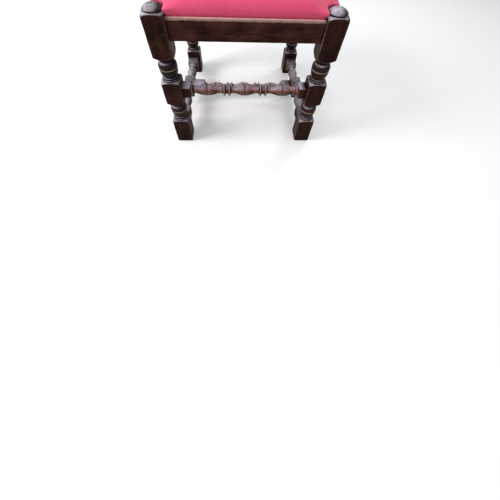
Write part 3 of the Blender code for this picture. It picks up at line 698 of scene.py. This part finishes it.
def build_rail(name, axis, side, span, outer, setback, seed):
    """A rail with a rounded lip outside and a rebate inside for the seat."""
    floor = RAIL_HEIGHT - RAIL_REBATE
    thickness = RAIL_INNER - setback
    corners = [
        (thickness, 0, RAIL_ARRIS),
        (0, 0, RAIL_ARRIS),
        (0, RAIL_HEIGHT, RAIL_LIP_ROUND),
        (RAIL_LIP, RAIL_HEIGHT, RAIL_ARRIS),
        (RAIL_LIP, floor, RAIL_ARRIS / 2),
        (thickness, floor, RAIL_ARRIS),
    ]
    loop = np.array(filled(rounded(corners), RAIL_STEP))
    half = span / 2 + SEATED
    along = np.linspace(-half, half, math.ceil(2 * half / BLOCK_STEP))
    grid = np.zeros((len(along), len(loop), 3))
    grid[:, :, axis] = along[:, None] * (-side if axis == 0 else side)
    grid[:, :, 1 - axis] = side * (outer - setback - loop[None, :, 0])
    grid[:, :, 2] = RAIL_TOP - RAIL_HEIGHT + loop[None, :, 1]
    grid, edge = worn(grid, seed)
    wear = np.clip((loop[:, 1] - RAIL_HEIGHT + LIP_WEAR_LOW) / (LIP_WEAR_LOW - LIP_WEAR_HIGH), 0, 1)
    wear = np.repeat((wear * (loop[:, 0] < RAIL_LIP))[None, :], len(along), axis=0)
    oak = OAK["cross" if axis == 0 else "deep"]
    rail = add_grid(f"oak_{name}", grid, oak, edge=edge, lip=wear)
    keep(rail, "frame", "dark_oak", name)


def coordinates(mesh):
    flat = np.empty(len(mesh.vertices) * 3)
    mesh.vertices.foreach_get("co", flat)
    return flat.reshape(-1, 3)


def move_to(mesh, points):
    mesh.vertices.foreach_set("co", points.reshape(-1))
    mesh.update()


def evaluated_mesh(obj):
    return bpy.data.meshes.new_from_object(obj.evaluated_get(bpy.context.evaluated_depsgraph_get()))


def apply_modifier(obj, kind, **settings):
    """Gives obj the mesh that one modifier makes of it."""
    modifier = obj.modifiers.new(kind.lower(), kind)
    for key, value in settings.items():
        setattr(modifier, key, value)
    obj.data = evaluated_mesh(obj)
    obj.modifiers.clear()


def notched(x, y, u, v):
    """Corners of a plan x and y from its middle, with notches in to u and v."""
    half = [(-u, -y), (u, -y), (u, -v), (x, -v), (x, v), (u, v)]
    return half + [(-across, -along) for across, along in half]


def seat_ring(grow, height):
    """One level of the seat, its faces moved out by grow, and full over the lips by the posts."""
    stuffed = height > SEAT_FRAME_HIGH
    bulge = POST_BULGE * stuffed
    corners = notched(seat_x + grow, seat_y + grow, notch_x + bulge, notch_y + bulge)
    ring = []
    for number, start in enumerate(corners):
        end = corners[(number + 1) % len(corners)]
        steps = FACE_STEPS if number % 3 == 0 else NOTCH_STEPS
        for step in range(steps):
            x, y = Vector(start).lerp(Vector(end), step / steps)
            if stuffed and abs(y) > notch_y + POST_BULGE:
                near = max(0, 1 - abs(notch_x - abs(x)) / CORNER_FULL_REACH)
                y += math.copysign(CORNER_FULL * near**2, y)
            ring.append((x, y, rebate_floor + height))
    return ring


def crown_at(x, y):
    """How much the stuffing lifts the seat above its edge."""
    across = max(0.0, 1 - (x / seat_x) ** 2)
    along = max(0.0, 1 - (y / seat_y) ** 2)
    return PAD_CROWN * math.sqrt(across * along)


def pad_object():
    """The closed form of the seat before it is blown up."""
    rings = [seat_ring(0, COVER_LOW), seat_ring(0, SEAT_FRAME_HIGH)]
    rings.append(seat_ring(PAD_BELLY / 2, (SEAT_FRAME_HIGH + PAD_BELLY_HEIGHT) / 2))
    rings.append(seat_ring(PAD_BELLY, PAD_BELLY_HEIGHT))
    for step in range(1, ROLL_STEPS + 1):
        angle = step / ROLL_STEPS * math.pi / 2
        rise = (PAD_EDGE_HEIGHT - PAD_BELLY_HEIGHT) * math.sin(angle)
        ring = seat_ring(PAD_BELLY - PAD_EDGE_ROLL * (1 - math.cos(angle)), PAD_BELLY_HEIGHT + rise)
        rings.append([(x, y, z + step / ROLL_STEPS * crown_at(x, y)) for x, y, z in ring])
    edge = rings[-1]
    edge_height = rebate_floor + PAD_EDGE_HEIGHT
    for share in CROWN_RINGS:
        inner = [(x * share, y * share) for x, y, z in edge]
        rings.append([(x, y, edge_height + crown_at(x, y)) for x, y in inner])
    return add_grid("seat_pad", np.array(rings), [red_fabric], pole=True)


def blown_up(obj, held):
    """Runs the cloth: the pad's skin with pressure inside, still where it is held."""
    start = coordinates(obj.data)
    group = obj.vertex_groups.new(name="held")
    group.add(np.flatnonzero(held).tolist(), 1.0, "REPLACE")
    cloth = obj.modifiers.new("cloth", "CLOTH")
    cloth.settings.vertex_group_mass = "held"
    cloth.settings.use_pressure = True
    cloth.settings.uniform_pressure_force = CLOTH_PRESSURE
    cloth.settings.effector_weights.gravity = 0
    cloth.collision_settings.use_collision = False
    for number in range(1, CLOTH_FRAMES + 1):
        bpy.context.scene.frame_set(number)
    swollen = coordinates(evaluated_mesh(obj))
    obj.modifiers.clear()
    bpy.context.scene.frame_set(1)
    moved = swollen - start
    length = np.linalg.norm(moved, axis=1, keepdims=True)
    allowed = CLOTH_CAP * np.tanh(length / CLOTH_CAP)
    move_to(obj.data, start + moved * allowed / np.maximum(length, TINY))


def smoothed(mesh, points):
    """The heights drawn towards those of their neighbours, to take out the steps of the remesh."""
    ends = np.array([edge.vertices[:] for edge in mesh.edges])
    count = np.bincount(ends.reshape(-1), minlength=len(points))
    height = points[:, 2]
    free = height > RAIL_TOP + HELD_ABOVE_RAIL
    for _ in range(SMOOTHING):
        total = np.zeros_like(height)
        np.add.at(total, ends[:, 0], height[ends[:, 1]])
        np.add.at(total, ends[:, 1], height[ends[:, 0]])
        height = np.where(free, (height + total / count) / 2, height)
    points[:, 2] = height
    return points


def creased(points):
    """The cover with soft folds and a drop by each post, and a little uneven."""
    belly = rebate_floor + PAD_BELLY_HEIGHT
    on_top = np.clip((points[:, 2] - belly) / (PAD_EDGE_HEIGHT - PAD_BELLY_HEIGHT), 0, 1)
    drop = -LUMPS * noise_at(points, LUMP_NOISE, 3)
    corners = [(x, y) for x in SIDES for y in SIDES]
    for (x, y), turn in zip(corners, CREASE_TURNS):
        away = points[:, :2] - np.array((x * notch_x, y * notch_y))
        heading = math.atan2(-y, -x) + turn
        along = away @ np.array((math.cos(heading), math.sin(heading)))
        across = away @ np.array((-math.sin(heading), math.cos(heading)))
        fading = np.exp(-np.abs(along) / CREASE_LENGTH)
        drop += CREASE_DEPTH * fading * np.exp(-((across / CREASE_WIDTH) ** 2))
        beside = np.abs(across) - 2 * CREASE_WIDTH
        drop -= CREASE_RIDGE * fading * np.exp(-((beside / CREASE_WIDTH) ** 2))
    short = np.maximum(np.array((half_span_x, half_span_y)) - np.abs(points[:, :2]), 0)
    near = np.clip(1 - np.linalg.norm(short, axis=1) / POST_DROP_REACH, 0, 1)
    drop += POST_DROP * near**2 * (3 - 2 * near)
    points[:, 2] -= drop * on_top
    return points


def drawn_to_posts(points):
    """The cover's front and back drawn sideways to the posts, to leave no gap."""
    size = np.abs(points)
    share = np.clip((size[:, 0] - half_span_x) / POST_FILL_REACH + 1, 0, 1)
    beside = np.clip((size[:, 1] - half_span_y) / POST_FILL_REACH, 0, 1)
    shift = POST_FILL * POST_FILL_REACH * share**2 * (1 - share) * beside
    points[:, 0] += np.sign(points[:, 0]) * shift
    return points


def kept_clear(points):
    """The cover's points moved out of the posts, and in where they would meet a lip."""
    size = np.abs(points[:, :2])
    side = np.sign(points[:, :2])
    post = np.array((half_span_x, half_span_y)) - TOUCH
    over = size - post
    away = size - np.array((leg_x, leg_y))
    reach = np.linalg.norm(away, axis=1)
    heights = (LEG_BLOCK_TOP, LEG_BLOCK_TOP + LEG_TOP_SHOULDER)
    round_post = np.interp(points[:, 2], heights, (LEG * math.sqrt(0.5), FINIAL)) + TOUCH
    inside = (over > 0).all(axis=1) & (reach < round_post)
    out_of_round = round_post - reach
    for axis in (0, 1):
        nearer = inside & (over[:, axis] <= over[:, 1 - axis]) & (over[:, axis] <= out_of_round)
        size[nearer, axis] = post[axis]
    rest = inside & (out_of_round < over.min(axis=1))
    size[rest] += away[rest] * (out_of_round / np.maximum(reach, TINY))[rest, None]
    overhang = LIP_SLOPE * np.maximum(points[:, 2] - RAIL_TOP - TOUCH, 0)
    for axis, limit in enumerate((seat_x, seat_y)):
        size[:, axis] = np.minimum(size[:, axis], limit + overhang)
    points[:, :2] = size * side
    return points


def build_stuffing(pad):
    """The cover's form a little smaller, cut flat where it lies on the hessian."""
    stuffing = add_object("seat_stuffing", pad.data.copy())
    stuffing.data.materials[0] = fibre
    normals = np.array([vertex.normal[:] for vertex in stuffing.data.vertices])
    move_to(stuffing.data, coordinates(stuffing.data) - normals * STUFFING_INSET)
    bm = bmesh.new()
    bm.from_mesh(stuffing.data)
    foot = Vector(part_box("stuffing")[0])
    geometry = bm.verts[:] + bm.edges[:] + bm.faces[:]
    cut = bmesh.ops.bisect_plane(bm, geom=geometry, plane_co=foot, plane_no=(0, 0, 1), clear_inner=True)
    rim = [part for part in cut["geom_cut"] if isinstance(part, bmesh.types.BMEdge)]
    bmesh.ops.contextual_create(bm, geom=rim)
    bm.to_mesh(stuffing.data)
    bm.free()
    stuffing.data.shade_smooth()
    keep(stuffing, "drop_in_seat", "stuffing_fibre", "stuffing")


def open_below(mesh):
    """Cuts the cover open under the seat, leaving the edge that is turned in."""
    bm = bmesh.new()
    bm.from_mesh(mesh)
    floor = rebate_floor + COVER_LOW + VOXEL / 2
    gone = []
    for face in bm.faces:
        x, y, _ = map(abs, face.calc_center_median())
        by_post = x > notch_x - COVER_NOTCH_RETURN and y > notch_y - COVER_NOTCH_RETURN
        within = x < seat_x - COVER_RETURN and y < seat_y - COVER_RETURN
        if within and not by_post and all(vert.co.z < floor for vert in face.verts):
            gone.append(face)
    bmesh.ops.delete(bm, geom=gone, context="FACES")
    bm.to_mesh(mesh)
    bm.free()


def build_cover():
    pad = pad_object()
    apply_modifier(pad, "REMESH", mode="VOXEL", voxel_size=VOXEL)
    points = smoothed(pad.data, coordinates(pad.data))
    move_to(pad.data, points)
    by_post = (np.abs(points[:, :2]) > np.array((notch_x, notch_y)) - HELD_BY_POST).all(axis=1)
    blown_up(pad, by_post | (points[:, 2] < RAIL_TOP + HELD_ABOVE_RAIL))
    move_to(pad.data, kept_clear(drawn_to_posts(creased(coordinates(pad.data)))))
    build_stuffing(pad)
    open_below(pad.data)
    apply_modifier(pad, "SOLIDIFY", thickness=COVER_THICKNESS, offset=-1)
    apply_modifier(pad, "SUBSURF", levels=1, render_levels=1)
    pad.data.shade_smooth()
    pad.name = "fabric_seat_cover"
    keep(pad, "drop_in_seat", "red_fabric", "seat_cover")


def build_web(name, axis):
    """A strip of webbing that goes over and under those it crosses."""
    low, high = map(Vector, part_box(name))
    centre = (low + high) / 2
    half = (high[axis] - low[axis]) / 2
    weave = (high.z - low.z - WEB) / 2
    spacing = WEB_SPACING_X if axis == 0 else WEB_SPACING_Y
    middle = name.endswith("middle")
    starts_over = middle == (axis == 1)
    along = np.linspace(-half, half, math.ceil(2 * half / WEB_STEP))
    rise = np.zeros_like(along)
    for number, place in enumerate((-1, 0, 1)):
        over = starts_over == (number % 2 == 0)
        rise[np.abs(along - place * spacing) < WEB_WIDTH / 2] = weave if over else -weave
    for _ in range(WEB_SETTLE):
        rise[1:-1] = (rise[:-2] + rise[1:-1] + rise[2:]) / 3
    side = WEB_WIDTH / 2
    edge = WEB / 2
    corners = [(-side, -edge), (side, -edge), (side, edge), (-side, edge)]
    loop = np.array(filled(rounded([(*corner, edge * WEB_ROUND) for corner in corners]), WEB_STEP))
    grid = np.zeros((len(along), len(loop), 3))
    grid[:, :, axis] = centre[axis] + along[:, None] * (1 if axis == 0 else -1)
    grid[:, :, 1 - axis] = centre[1 - axis] + loop[None, :, 0]
    grid[:, :, 2] = centre.z + rise[:, None] + loop[None, :, 1]
    web = add_grid(f"jute_{name}", grid, [jute])
    keep(web, "drop_in_seat", "jute_webbing", name)


def build_hessian():
    """The sheet of hessian stretched over the webbing."""
    low, high = map(Vector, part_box("hessian"))
    u = notch_x - HESSIAN_INSET
    v = notch_y - HESSIAN_INSET
    plan = notched(high.x, high.y, u, v)
    levels = [[(x, y, z) for x, y in plan] for z in (low.z, high.z)]
    sheet = add_grid("hessian_sheet", np.array(levels), [hessian_cloth])
    sheet.data.shade_flat()
    keep(sheet, "drop_in_seat", "hessian", "hessian")


def build_seat():
    build_cover()
    for place in ("first", "middle", "last"):
        build_web(f"web_cross_{place}", 0)
        build_web(f"web_along_{place}", 1)
    build_hessian()


def feed(tree, node, inputs):
    """Gives each input of a node its value, or links it to another node's output."""
    for key, value in inputs.items():
        if isinstance(value, bpy.types.NodeSocket):
            tree.links.new(value, node.inputs[key])
        else:
            node.inputs[key].default_value = value


def add_node(tree, kind, inputs, output=0, **settings):
    """Adds a node with its settings and inputs, and returns one of its outputs."""
    node = tree.nodes.new(f"ShaderNode{kind}")
    for key, value in settings.items():
        setattr(node, key, value)
    feed(tree, node, inputs)
    return node.outputs[output]


def new_material(name):
    material = bpy.data.materials.new(name)
    material.use_nodes = True
    tree = material.node_tree
    return material, tree, tree.nodes["Principled BSDF"]


def noise_node(tree, vector, scale, detail, roughness):
    inputs = {"Vector": vector, "Scale": scale, "Detail": detail, "Roughness": roughness}
    return add_node(tree, "TexNoise", inputs, "Fac")


def ramp(tree, factor, stops):
    """Colours along a factor, each stop its place and its colour."""
    colour = add_node(tree, "ValToRGB", {"Fac": factor}, "Color")
    elements = colour.node.color_ramp.elements
    while len(elements) < len(stops):
        elements.new(0.5)
    for element, (place, shown) in zip(elements, stops):
        element.position = place
        element.color = (*shown, 1)
    return colour


def remap(tree, value, low, high, to_low=0.0, to_high=1.0):
    inputs = {"Value": value, "From Min": low, "From Max": high, "To Min": to_low, "To Max": to_high}
    return add_node(tree, "MapRange", inputs, "Result", clamp=True)


def math_node(tree, operation, first, second):
    return add_node(tree, "Math", {0: first, 1: second}, operation=operation)


def product(tree, first, *others):
    for other in others:
        first = math_node(tree, "MULTIPLY", first, other)
    return first


def layered(tree, colour, layers):
    """A colour under others, each laid over the last by its own share."""
    for share, over in layers:
        if isinstance(over, tuple):
            over = (*over, 1)
        inputs = {"Factor": share, "A": colour, "B": over}
        colour = add_node(tree, "Mix", inputs, "Result", data_type="RGBA")
    return colour


def bump_node(tree, height, strength, distance):
    inputs = {"Height": height, "Strength": strength, "Distance": distance}
    return add_node(tree, "Bump", inputs, "Normal")


def object_coordinates(tree):
    return add_node(tree, "TexCoord", {}, "Object")


def stretched(tree, axis, along, across):
    """Object coordinates drawn out along one axis, for grain."""
    scale = [along if number == axis else across for number in range(3)]
    return add_node(tree, "Mapping", {"Vector": object_coordinates(tree), "Scale": scale})


def marked(tree, name):
    """What a mesh attribute says of the wear at a point."""
    return add_node(tree, "Attribute", {}, "Fac", attribute_name=name)


def oak_material(name, axis, look, dust_and_sheen):
    """Dark stained oak with grain along one axis, rubbed edges and lips, dark grooves, painted shade,
    and dust under a painted sheen on the sides that face a painted sky, where rubbed edges show as a
    painted highlight.

    look is one of the dictionaries below. The last argument has colours, each with the facing to the
    painted sky it belongs to.
    """
    material, tree, shader = new_material(name)
    place = object_coordinates(tree)
    grain = noise_node(tree, stretched(tree, axis, *GRAIN_SCALE), 1.0, 6, 0.66)
    pores = noise_node(tree, stretched(tree, axis, *PORE_SCALE), 1.0, 3, 0.5)
    broad = noise_node(tree, place, SMOKE_SCALE, 3, 0.6)
    patches = noise_node(tree, place, PATCH_SCALE, 3, 0.55)
    scuffs = noise_node(tree, place, SCUFF_SCALE, 5, 0.7)
    edge = marked(tree, "edge")
    lip = marked(tree, "lip")
    shade = marked(tree, "shade")
    normal = add_node(tree, "NewGeometry", {}, "Normal")
    sky = Vector(PAINTED_SKY_SIDE).normalized()
    facing = add_node(tree, "VectorMath", {0: normal, 1: sky}, "Value", operation="DOT_PRODUCT")

    # Rubbed edges, shown where they face the painted sky, so partly a painted highlight
    rubbed_and_highlit = product(
        tree,
        remap(tree, edge, *EDGE_RUBBED),
        remap(tree, scuffs, *SCUFF_RANGE, *look["rub"]),
        remap(tree, facing, *look["lit"]),
    )
    bare = math_node(tree, "ADD", lip, remap(tree, scuffs, *MOTTLE_SCUFFS, *LIP_UNEVEN))
    mottle = math_node(tree, "ADD", patches, remap(tree, scuffs, *MOTTLE_SCUFFS, *MOTTLE_SPREAD))
    # Dust under a painted sheen, by how a face turns to the painted sky, kept off painted shade and bare
    # lips
    first_facing = dust_and_sheen[0][0]
    dust_and_sheen_share = product(
        tree,
        remap(tree, facing, first_facing / 2, first_facing),
        remap(tree, shade, 0, 1, 1, 0),
        remap(tree, mottle, *MOTTLE_RANGE, look["thin"], 1.0),
        remap(tree, lip, 0, 1, 1, LIP_DUST_AND_SHEEN),
    )
    layers = [
        (remap(tree, patches, *PATCH_RANGE, 0, look["redness"]), OAK_RED),
        (remap(tree, broad, *SMOKE_RANGE, 0, look["smoke"]), OAK_DARK),
        (remap(tree, pores, *PORE_RANGE, 0, PORE_SHARE), OAK_PORE_AND_SHADE),
        (rubbed_and_highlit, look["rubbed_and_highlit"]),
        (remap(tree, bare, *BARE_RANGE, 0, BARE_SHARE), look["bare"]),
        (dust_and_sheen_share, ramp(tree, remap(tree, facing, 0, 1), dust_and_sheen)),
        # Painted shade under overhangs, on the lower balls and in the grooves under the rings
        (remap(tree, shade, 0, 1, 0, SHADE_SHARE), OAK_PORE_AND_SHADE),
        (remap(tree, edge, *GROOVE_RANGE, 0, look["grime"]), OAK_PORE_AND_SHADE),
    ]
    stain = ramp(tree, grain, [(0.30, OAK_DARK), (0.52, OAK_MIDDLE), (0.74, OAK_LIGHT)])
    height = math_node(tree, "ADD", grain, product(tree, pores, -0.6))
    looks = {
        "Base Color": layered(tree, stain, layers),
        "Roughness": remap(tree, math_node(tree, "ADD", grain, patches), 0.6, 1.4, 0.26, 0.44),
        "Specular IOR Level": look["gloss"],
        "Normal": bump_node(tree, height, 0.35, 0.0006),
    }
    feed(tree, shader, looks)
    return material


def peg_material():
    """End grain of the pegs, speckled and dark with old wax."""
    material, tree, shader = new_material("oak_peg")
    speckle = noise_node(tree, object_coordinates(tree), 900, 3, 0.6)
    looks = {
        "Base Color": ramp(tree, speckle, [(0.35, PEG_DARK), (0.7, PEG_PALE)]),
        "Roughness": remap(tree, speckle, 0.3, 0.7, 0.4, 0.6),
        "Specular IOR Level": 0.06,
        "Normal": bump_node(tree, speckle, 0.3, 0.0004),
    }
    feed(tree, shader, looks)
    return material


def beech_material():
    material, tree, shader = new_material("beech")
    grain = noise_node(tree, stretched(tree, 0, 6, 60), 1.0, 5, 0.6)
    flecks = noise_node(tree, object_coordinates(tree), 420, 2, 0.5)
    colour = ramp(tree, grain, [(0.3, BEECH_DARK), (0.7, BEECH_PALE)])
    looks = {
        "Base Color": layered(tree, colour, [(remap(tree, flecks, 0.6, 0.75, 0, 0.5), BEECH_FLECK)]),
        "Roughness": remap(tree, grain, 0.3, 0.7, 0.6, 0.8),
        "Normal": bump_node(tree, grain, 0.3, 0.0006),
    }
    feed(tree, shader, looks)
    return material


def split(tree, vector):
    return add_node(tree, "SeparateXYZ", {"Vector": vector}).node.outputs


def weave_height(tree, pitch):
    """Threads that cross each other, over and under, on whichever side a face looks to."""
    place = split(tree, object_coordinates(tree))
    facing = split(tree, add_node(tree, "TexCoord", {}, "Normal"))
    waves = {}
    for axis in "XYZ":
        waves[axis] = math_node(tree, "SINE", product(tree, place[axis], math.pi / pitch), 0.0)
    total = 0.0
    for axis, first, second in ("XYZ", "YXZ", "ZXY"):
        share = math_node(tree, "POWER", facing[axis], 4.0)
        total = math_node(tree, "ADD", product(tree, waves[first], waves[second], share), total)
    return remap(tree, total, -1, 1)


def cloth_material(name, pitch, dark, pale, sheen, bump):
    """Woven cloth: threads, slubs and a soft sheen."""
    material, tree, shader = new_material(name)
    threads = weave_height(tree, pitch)
    slubs = noise_node(tree, object_coordinates(tree), 0.35 / pitch, 4, 0.65)
    faded = noise_node(tree, object_coordinates(tree), 9, 3, 0.5)
    mix = math_node(tree, "ADD", product(tree, threads, 0.45), product(tree, slubs, 0.55))
    mix = math_node(tree, "ADD", mix, remap(tree, faded, 0.3, 0.7, -0.12, 0.12))
    looks = {
        "Base Color": ramp(tree, mix, [(0.25, dark), (0.75, pale)]),
        "Roughness": 0.9,
        "Specular IOR Level": 0.2,
        "Sheen Weight": sheen,
        "Sheen Roughness": 0.5,
        "Normal": bump_node(tree, mix, 0.6, bump),
    }
    feed(tree, shader, looks)
    return material


# Looks of the oak. redness, smoke, grime: how red and how dark its patches, and how dark its grooves are.
# rub: the least and the most that edges are rubbed. lit: the facings to the painted sky where that comes
# in,
# as a painted highlight. rubbed, bare: colours of edges, and of lips and lines. gloss: reflection.
# thin: the least of its dust and painted sheen.
FLAT = {"redness": 0.85, "smoke": 0.0, "grime": 0.95, "rub": (0.05, 0.5), "lit": (-0.35, 0.15)}
FLAT |= {"rubbed_and_highlit": OAK_RUBBED, "bare": OAK_BARE, "gloss": 0.02, "thin": 0.25}
TURNED = FLAT | {"redness": 0.9, "grime": 0.6, "rub": (0.35, 0.95), "gloss": 0.07, "thin": 0.45}
TURNED |= {"rubbed_and_highlit": OAK_TAN, "bare": OAK_BARE_LINE}
UPRIGHT_FLAT = FLAT | {"redness": 0.6, "smoke": 0.6}
UPRIGHT_TURNED = TURNED | {"redness": 0.2, "smoke": 0.8, "grime": 0.95, "thin": 0.35}
UPRIGHT_TURNED |= {"rub": (0.1, 0.6), "lit": (0.35, 0.7), "rubbed_and_highlit": OAK_RUBBED}
# Ramps by facing to the painted sky: painted shade low, then painted sheen and highlight over some dust;
# the blue lifts faces that the seat shades
RED_PAINTED_SHADE_AND_SHEEN = [(0.34, PAINTED_SHADE_MAROON), (0.62, HALF_LIT_MAHOGANY), (0.80, PAINTED_HIGHLIGHT_PINK), (0.97, DUST_AND_SHEEN_PALE)]
DUSTY_PAINTED_SHEEN = [(0.30, OAK_GREYED), (0.66, DUST_AND_SHEEN_GREY), (0.95, DUST_AND_SHEEN_PALE)]
WAXED_PAINTED_SHEEN = [(0.75, OAK_WAXED), (0.90, DUST_AND_SHEEN_GREY), (1.0, DUST_AND_SHEEN_PALE)]
GREY_FLAT_SHEEN = [(0.60, OAK_WAXED), (0.95, DUST_AND_SHEEN_GREY)]
PALE_FLAT_SHEEN = [(0.60, OAK_WAXED), (0.95, DUST_AND_SHEEN_PALE)]
BLUE_FLAT_SHEEN = [(0.60, OAK_WAXED), (0.95, DUST_AND_SHEEN_BLUE)]
# Each kind of member: the axis of its grain, then look and ramp of painted shade, painted sheen and dust of
# its flats and of its turned parts
KINDS = {
    "cross": (0, (FLAT | {"thin": 0.7}, BLUE_FLAT_SHEEN), (TURNED, RED_PAINTED_SHADE_AND_SHEEN)),
    "low": (0, (FLAT, PALE_FLAT_SHEEN), (TURNED, RED_PAINTED_SHADE_AND_SHEEN)),
    "deep": (1, (FLAT, GREY_FLAT_SHEEN), (TURNED | {"thin": 0.6}, DUSTY_PAINTED_SHEEN)),
    "upright": (2, (UPRIGHT_FLAT, GREY_FLAT_SHEEN), (UPRIGHT_TURNED, WAXED_PAINTED_SHEEN)),
}
OAK = {}
for kind, (grain_axis, flats, rounds) in KINDS.items():
    flat_oak = oak_material(f"oak_{kind}", grain_axis, *flats)
    turned_oak = oak_material(f"oak_{kind}_turned", grain_axis, *rounds)
    OAK[kind] = (flat_oak, turned_oak)
peg_oak = peg_material()
beech = beech_material()
red_fabric = cloth_material("red_fabric", 0.0011, FABRIC_DARK, FABRIC_PALE, 0.2, 0.0003)
jute = cloth_material("jute", 0.0024, JUTE_DARK, JUTE_PALE, 0.1, 0.0006)
hessian_cloth = cloth_material("hessian", 0.0019, HESSIAN_DARK, HESSIAN_PALE, 0.1, 0.0005)
fibre = cloth_material("fibre", 0.0030, FIBRE_DARK, FIBRE_PALE, 0.1, 0.0010)


SIDES = (-1, 1)
leg_x = (WIDTH - LEG) / 2
leg_y = (DEPTH - LEG) / 2
half_span_x = WIDTH / 2 - LEG
half_span_y = DEPTH / 2 - LEG
rebate_floor = RAIL_TOP - RAIL_REBATE
seat_x = WIDTH / 2 - SIDE_RAIL_SETBACK - RAIL_LIP - SEAT_CLEARANCE
seat_y = DEPTH / 2 - RAIL_SETBACK - RAIL_LIP - SEAT_CLEARANCE
notch_x = half_span_x - POST_CLEARANCE
notch_y = half_span_y - POST_CLEARANCE


def build_frame():
    """Legs, rails and stretchers, each in the place of its solid."""
    seed = 0
    for y_side, y_name in zip(SIDES, ("front", "rear")):
        for x_side, x_name in zip(SIDES, ("left", "right")):
            seed += 1
            build_leg(f"leg_{y_name}_{x_name}", x_side * leg_x, y_side * leg_y, seed)
    high_profile = long_stretcher_profile(half_span_x, HIGH_SECTION, HIGH_END_BLOCK)
    side_profile = side_stretcher_profile(half_span_y)
    for side, across, along in zip(SIDES, ("front", "rear"), ("left", "right")):
        seed += 1
        build_rail(f"rail_{across}", 0, side, 2 * half_span_x, DEPTH / 2, RAIL_SETBACK, seed)
        build_rail(f"rail_{along}", 1, side, 2 * half_span_y, WIDTH / 2, SIDE_RAIL_SETBACK, seed + 10)
        place = (0, side * leg_y, HIGH_HEIGHT)
        build_stretcher(f"stretcher_{across}", high_profile, HIGH_SECTION, place, "cross", seed + 20)
        place = (side * leg_x, 0, LOW_HEIGHT)
        build_stretcher(f"stretcher_{along}", side_profile, LOW_SECTION, place, "deep", seed + 30)
    medial = long_stretcher_profile(leg_x - LOW_SECTION / 2, LOW_SECTION, MEDIAL_END_BLOCK)
    build_stretcher("stretcher_medial", medial, LOW_SECTION, (0, 0, LOW_HEIGHT), "low", seed + 40)


def dress_nodes():
    """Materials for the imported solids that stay: pegs and seat frame."""
    for start, material in (("peg_", peg_oak), ("seat_frame_", beech)):
        for name, obj in nodes.items():
            if name.startswith(start):
                obj.data.materials.clear()
                obj.data.materials.append(material)


def build_camera():
    data = bpy.data.cameras.new("camera")
    data.sensor_fit = "HORIZONTAL"
    data.sensor_width = SENSOR
    data.lens = FOCAL_PIXELS / PHOTO_SIZE * SENSOR
    data.shift_y = PRINCIPAL_ROW / PHOTO_SIZE - 0.5
    camera = add_object("camera", data)
    yaw = Matrix.Rotation(-CAMERA_YAW, 4, "Z")
    tilt = Matrix.Rotation(math.pi / 2 - CAMERA_PITCH, 4, "X")
    roll = Matrix.Rotation(CAMERA_ROLL, 4, "Z")
    camera.matrix_world = Matrix.Translation(CAMERA_PLACE) @ yaw @ tilt @ roll
    bpy.context.scene.camera = camera


def add_lamp(name, place, size, power, colour):
    data = bpy.data.lights.new(name, "AREA")
    data.shape = "RECTANGLE"
    data.size, data.size_y = size
    data.energy = power
    data.color = colour
    lamp = add_object(name, data)
    lamp.location = place
    lamp.rotation_euler = (Vector(LAMP_TARGET) - Vector(place)).to_track_quat("-Z", "Y").to_euler()
    lamp.visible_camera = False


def seen_plainly(tree):
    """1 for what the camera sees, also in a reflection, and 0 for light."""
    paths = add_node(tree, "LightPath", {}).node.outputs
    return math_node(tree, "MAXIMUM", paths["Is Camera Ray"], paths["Is Glossy Ray"])


def build_light():
    for lamp in LAMPS:
        add_lamp(*lamp)
    world = bpy.data.worlds.new("studio")
    bpy.context.scene.world = world
    world.use_nodes = True
    tree = world.node_tree
    strength = remap(tree, seen_plainly(tree), 0, 1, WORLD_LIGHT, WORLD_SEEN)
    feed(tree, tree.nodes["Background"], {"Color": (1, 1, 1, 1), "Strength": strength})


def build_floor():
    bm = bmesh.new()
    bmesh.ops.create_grid(bm, x_segments=8, y_segments=8, size=FLOOR_HALF)
    mesh = bpy.data.meshes.new("floor")
    bm.to_mesh(mesh)
    bm.free()
    material, tree, shader = new_material("floor")
    tree.nodes.remove(shader)
    diffuse = add_node(tree, "BsdfDiffuse", {"Color": (FLOOR_GREY, FLOOR_GREY, FLOOR_GREY, 1)})
    strength = remap(tree, seen_plainly(tree), 0, 1, 0, FLOOR_GLOW)
    glow = add_node(tree, "Emission", {"Strength": strength})
    both = add_node(tree, "AddShader", {0: diffuse, 1: glow})
    feed(tree, tree.nodes["Material Output"], {"Surface": both})
    mesh.materials.append(material)
    add_object("floor", mesh)


bpy.context.scene.view_settings.view_transform = "Standard"
build_camera()
build_frame()
build_seat()
dress_nodes()
build_light()
build_floor()
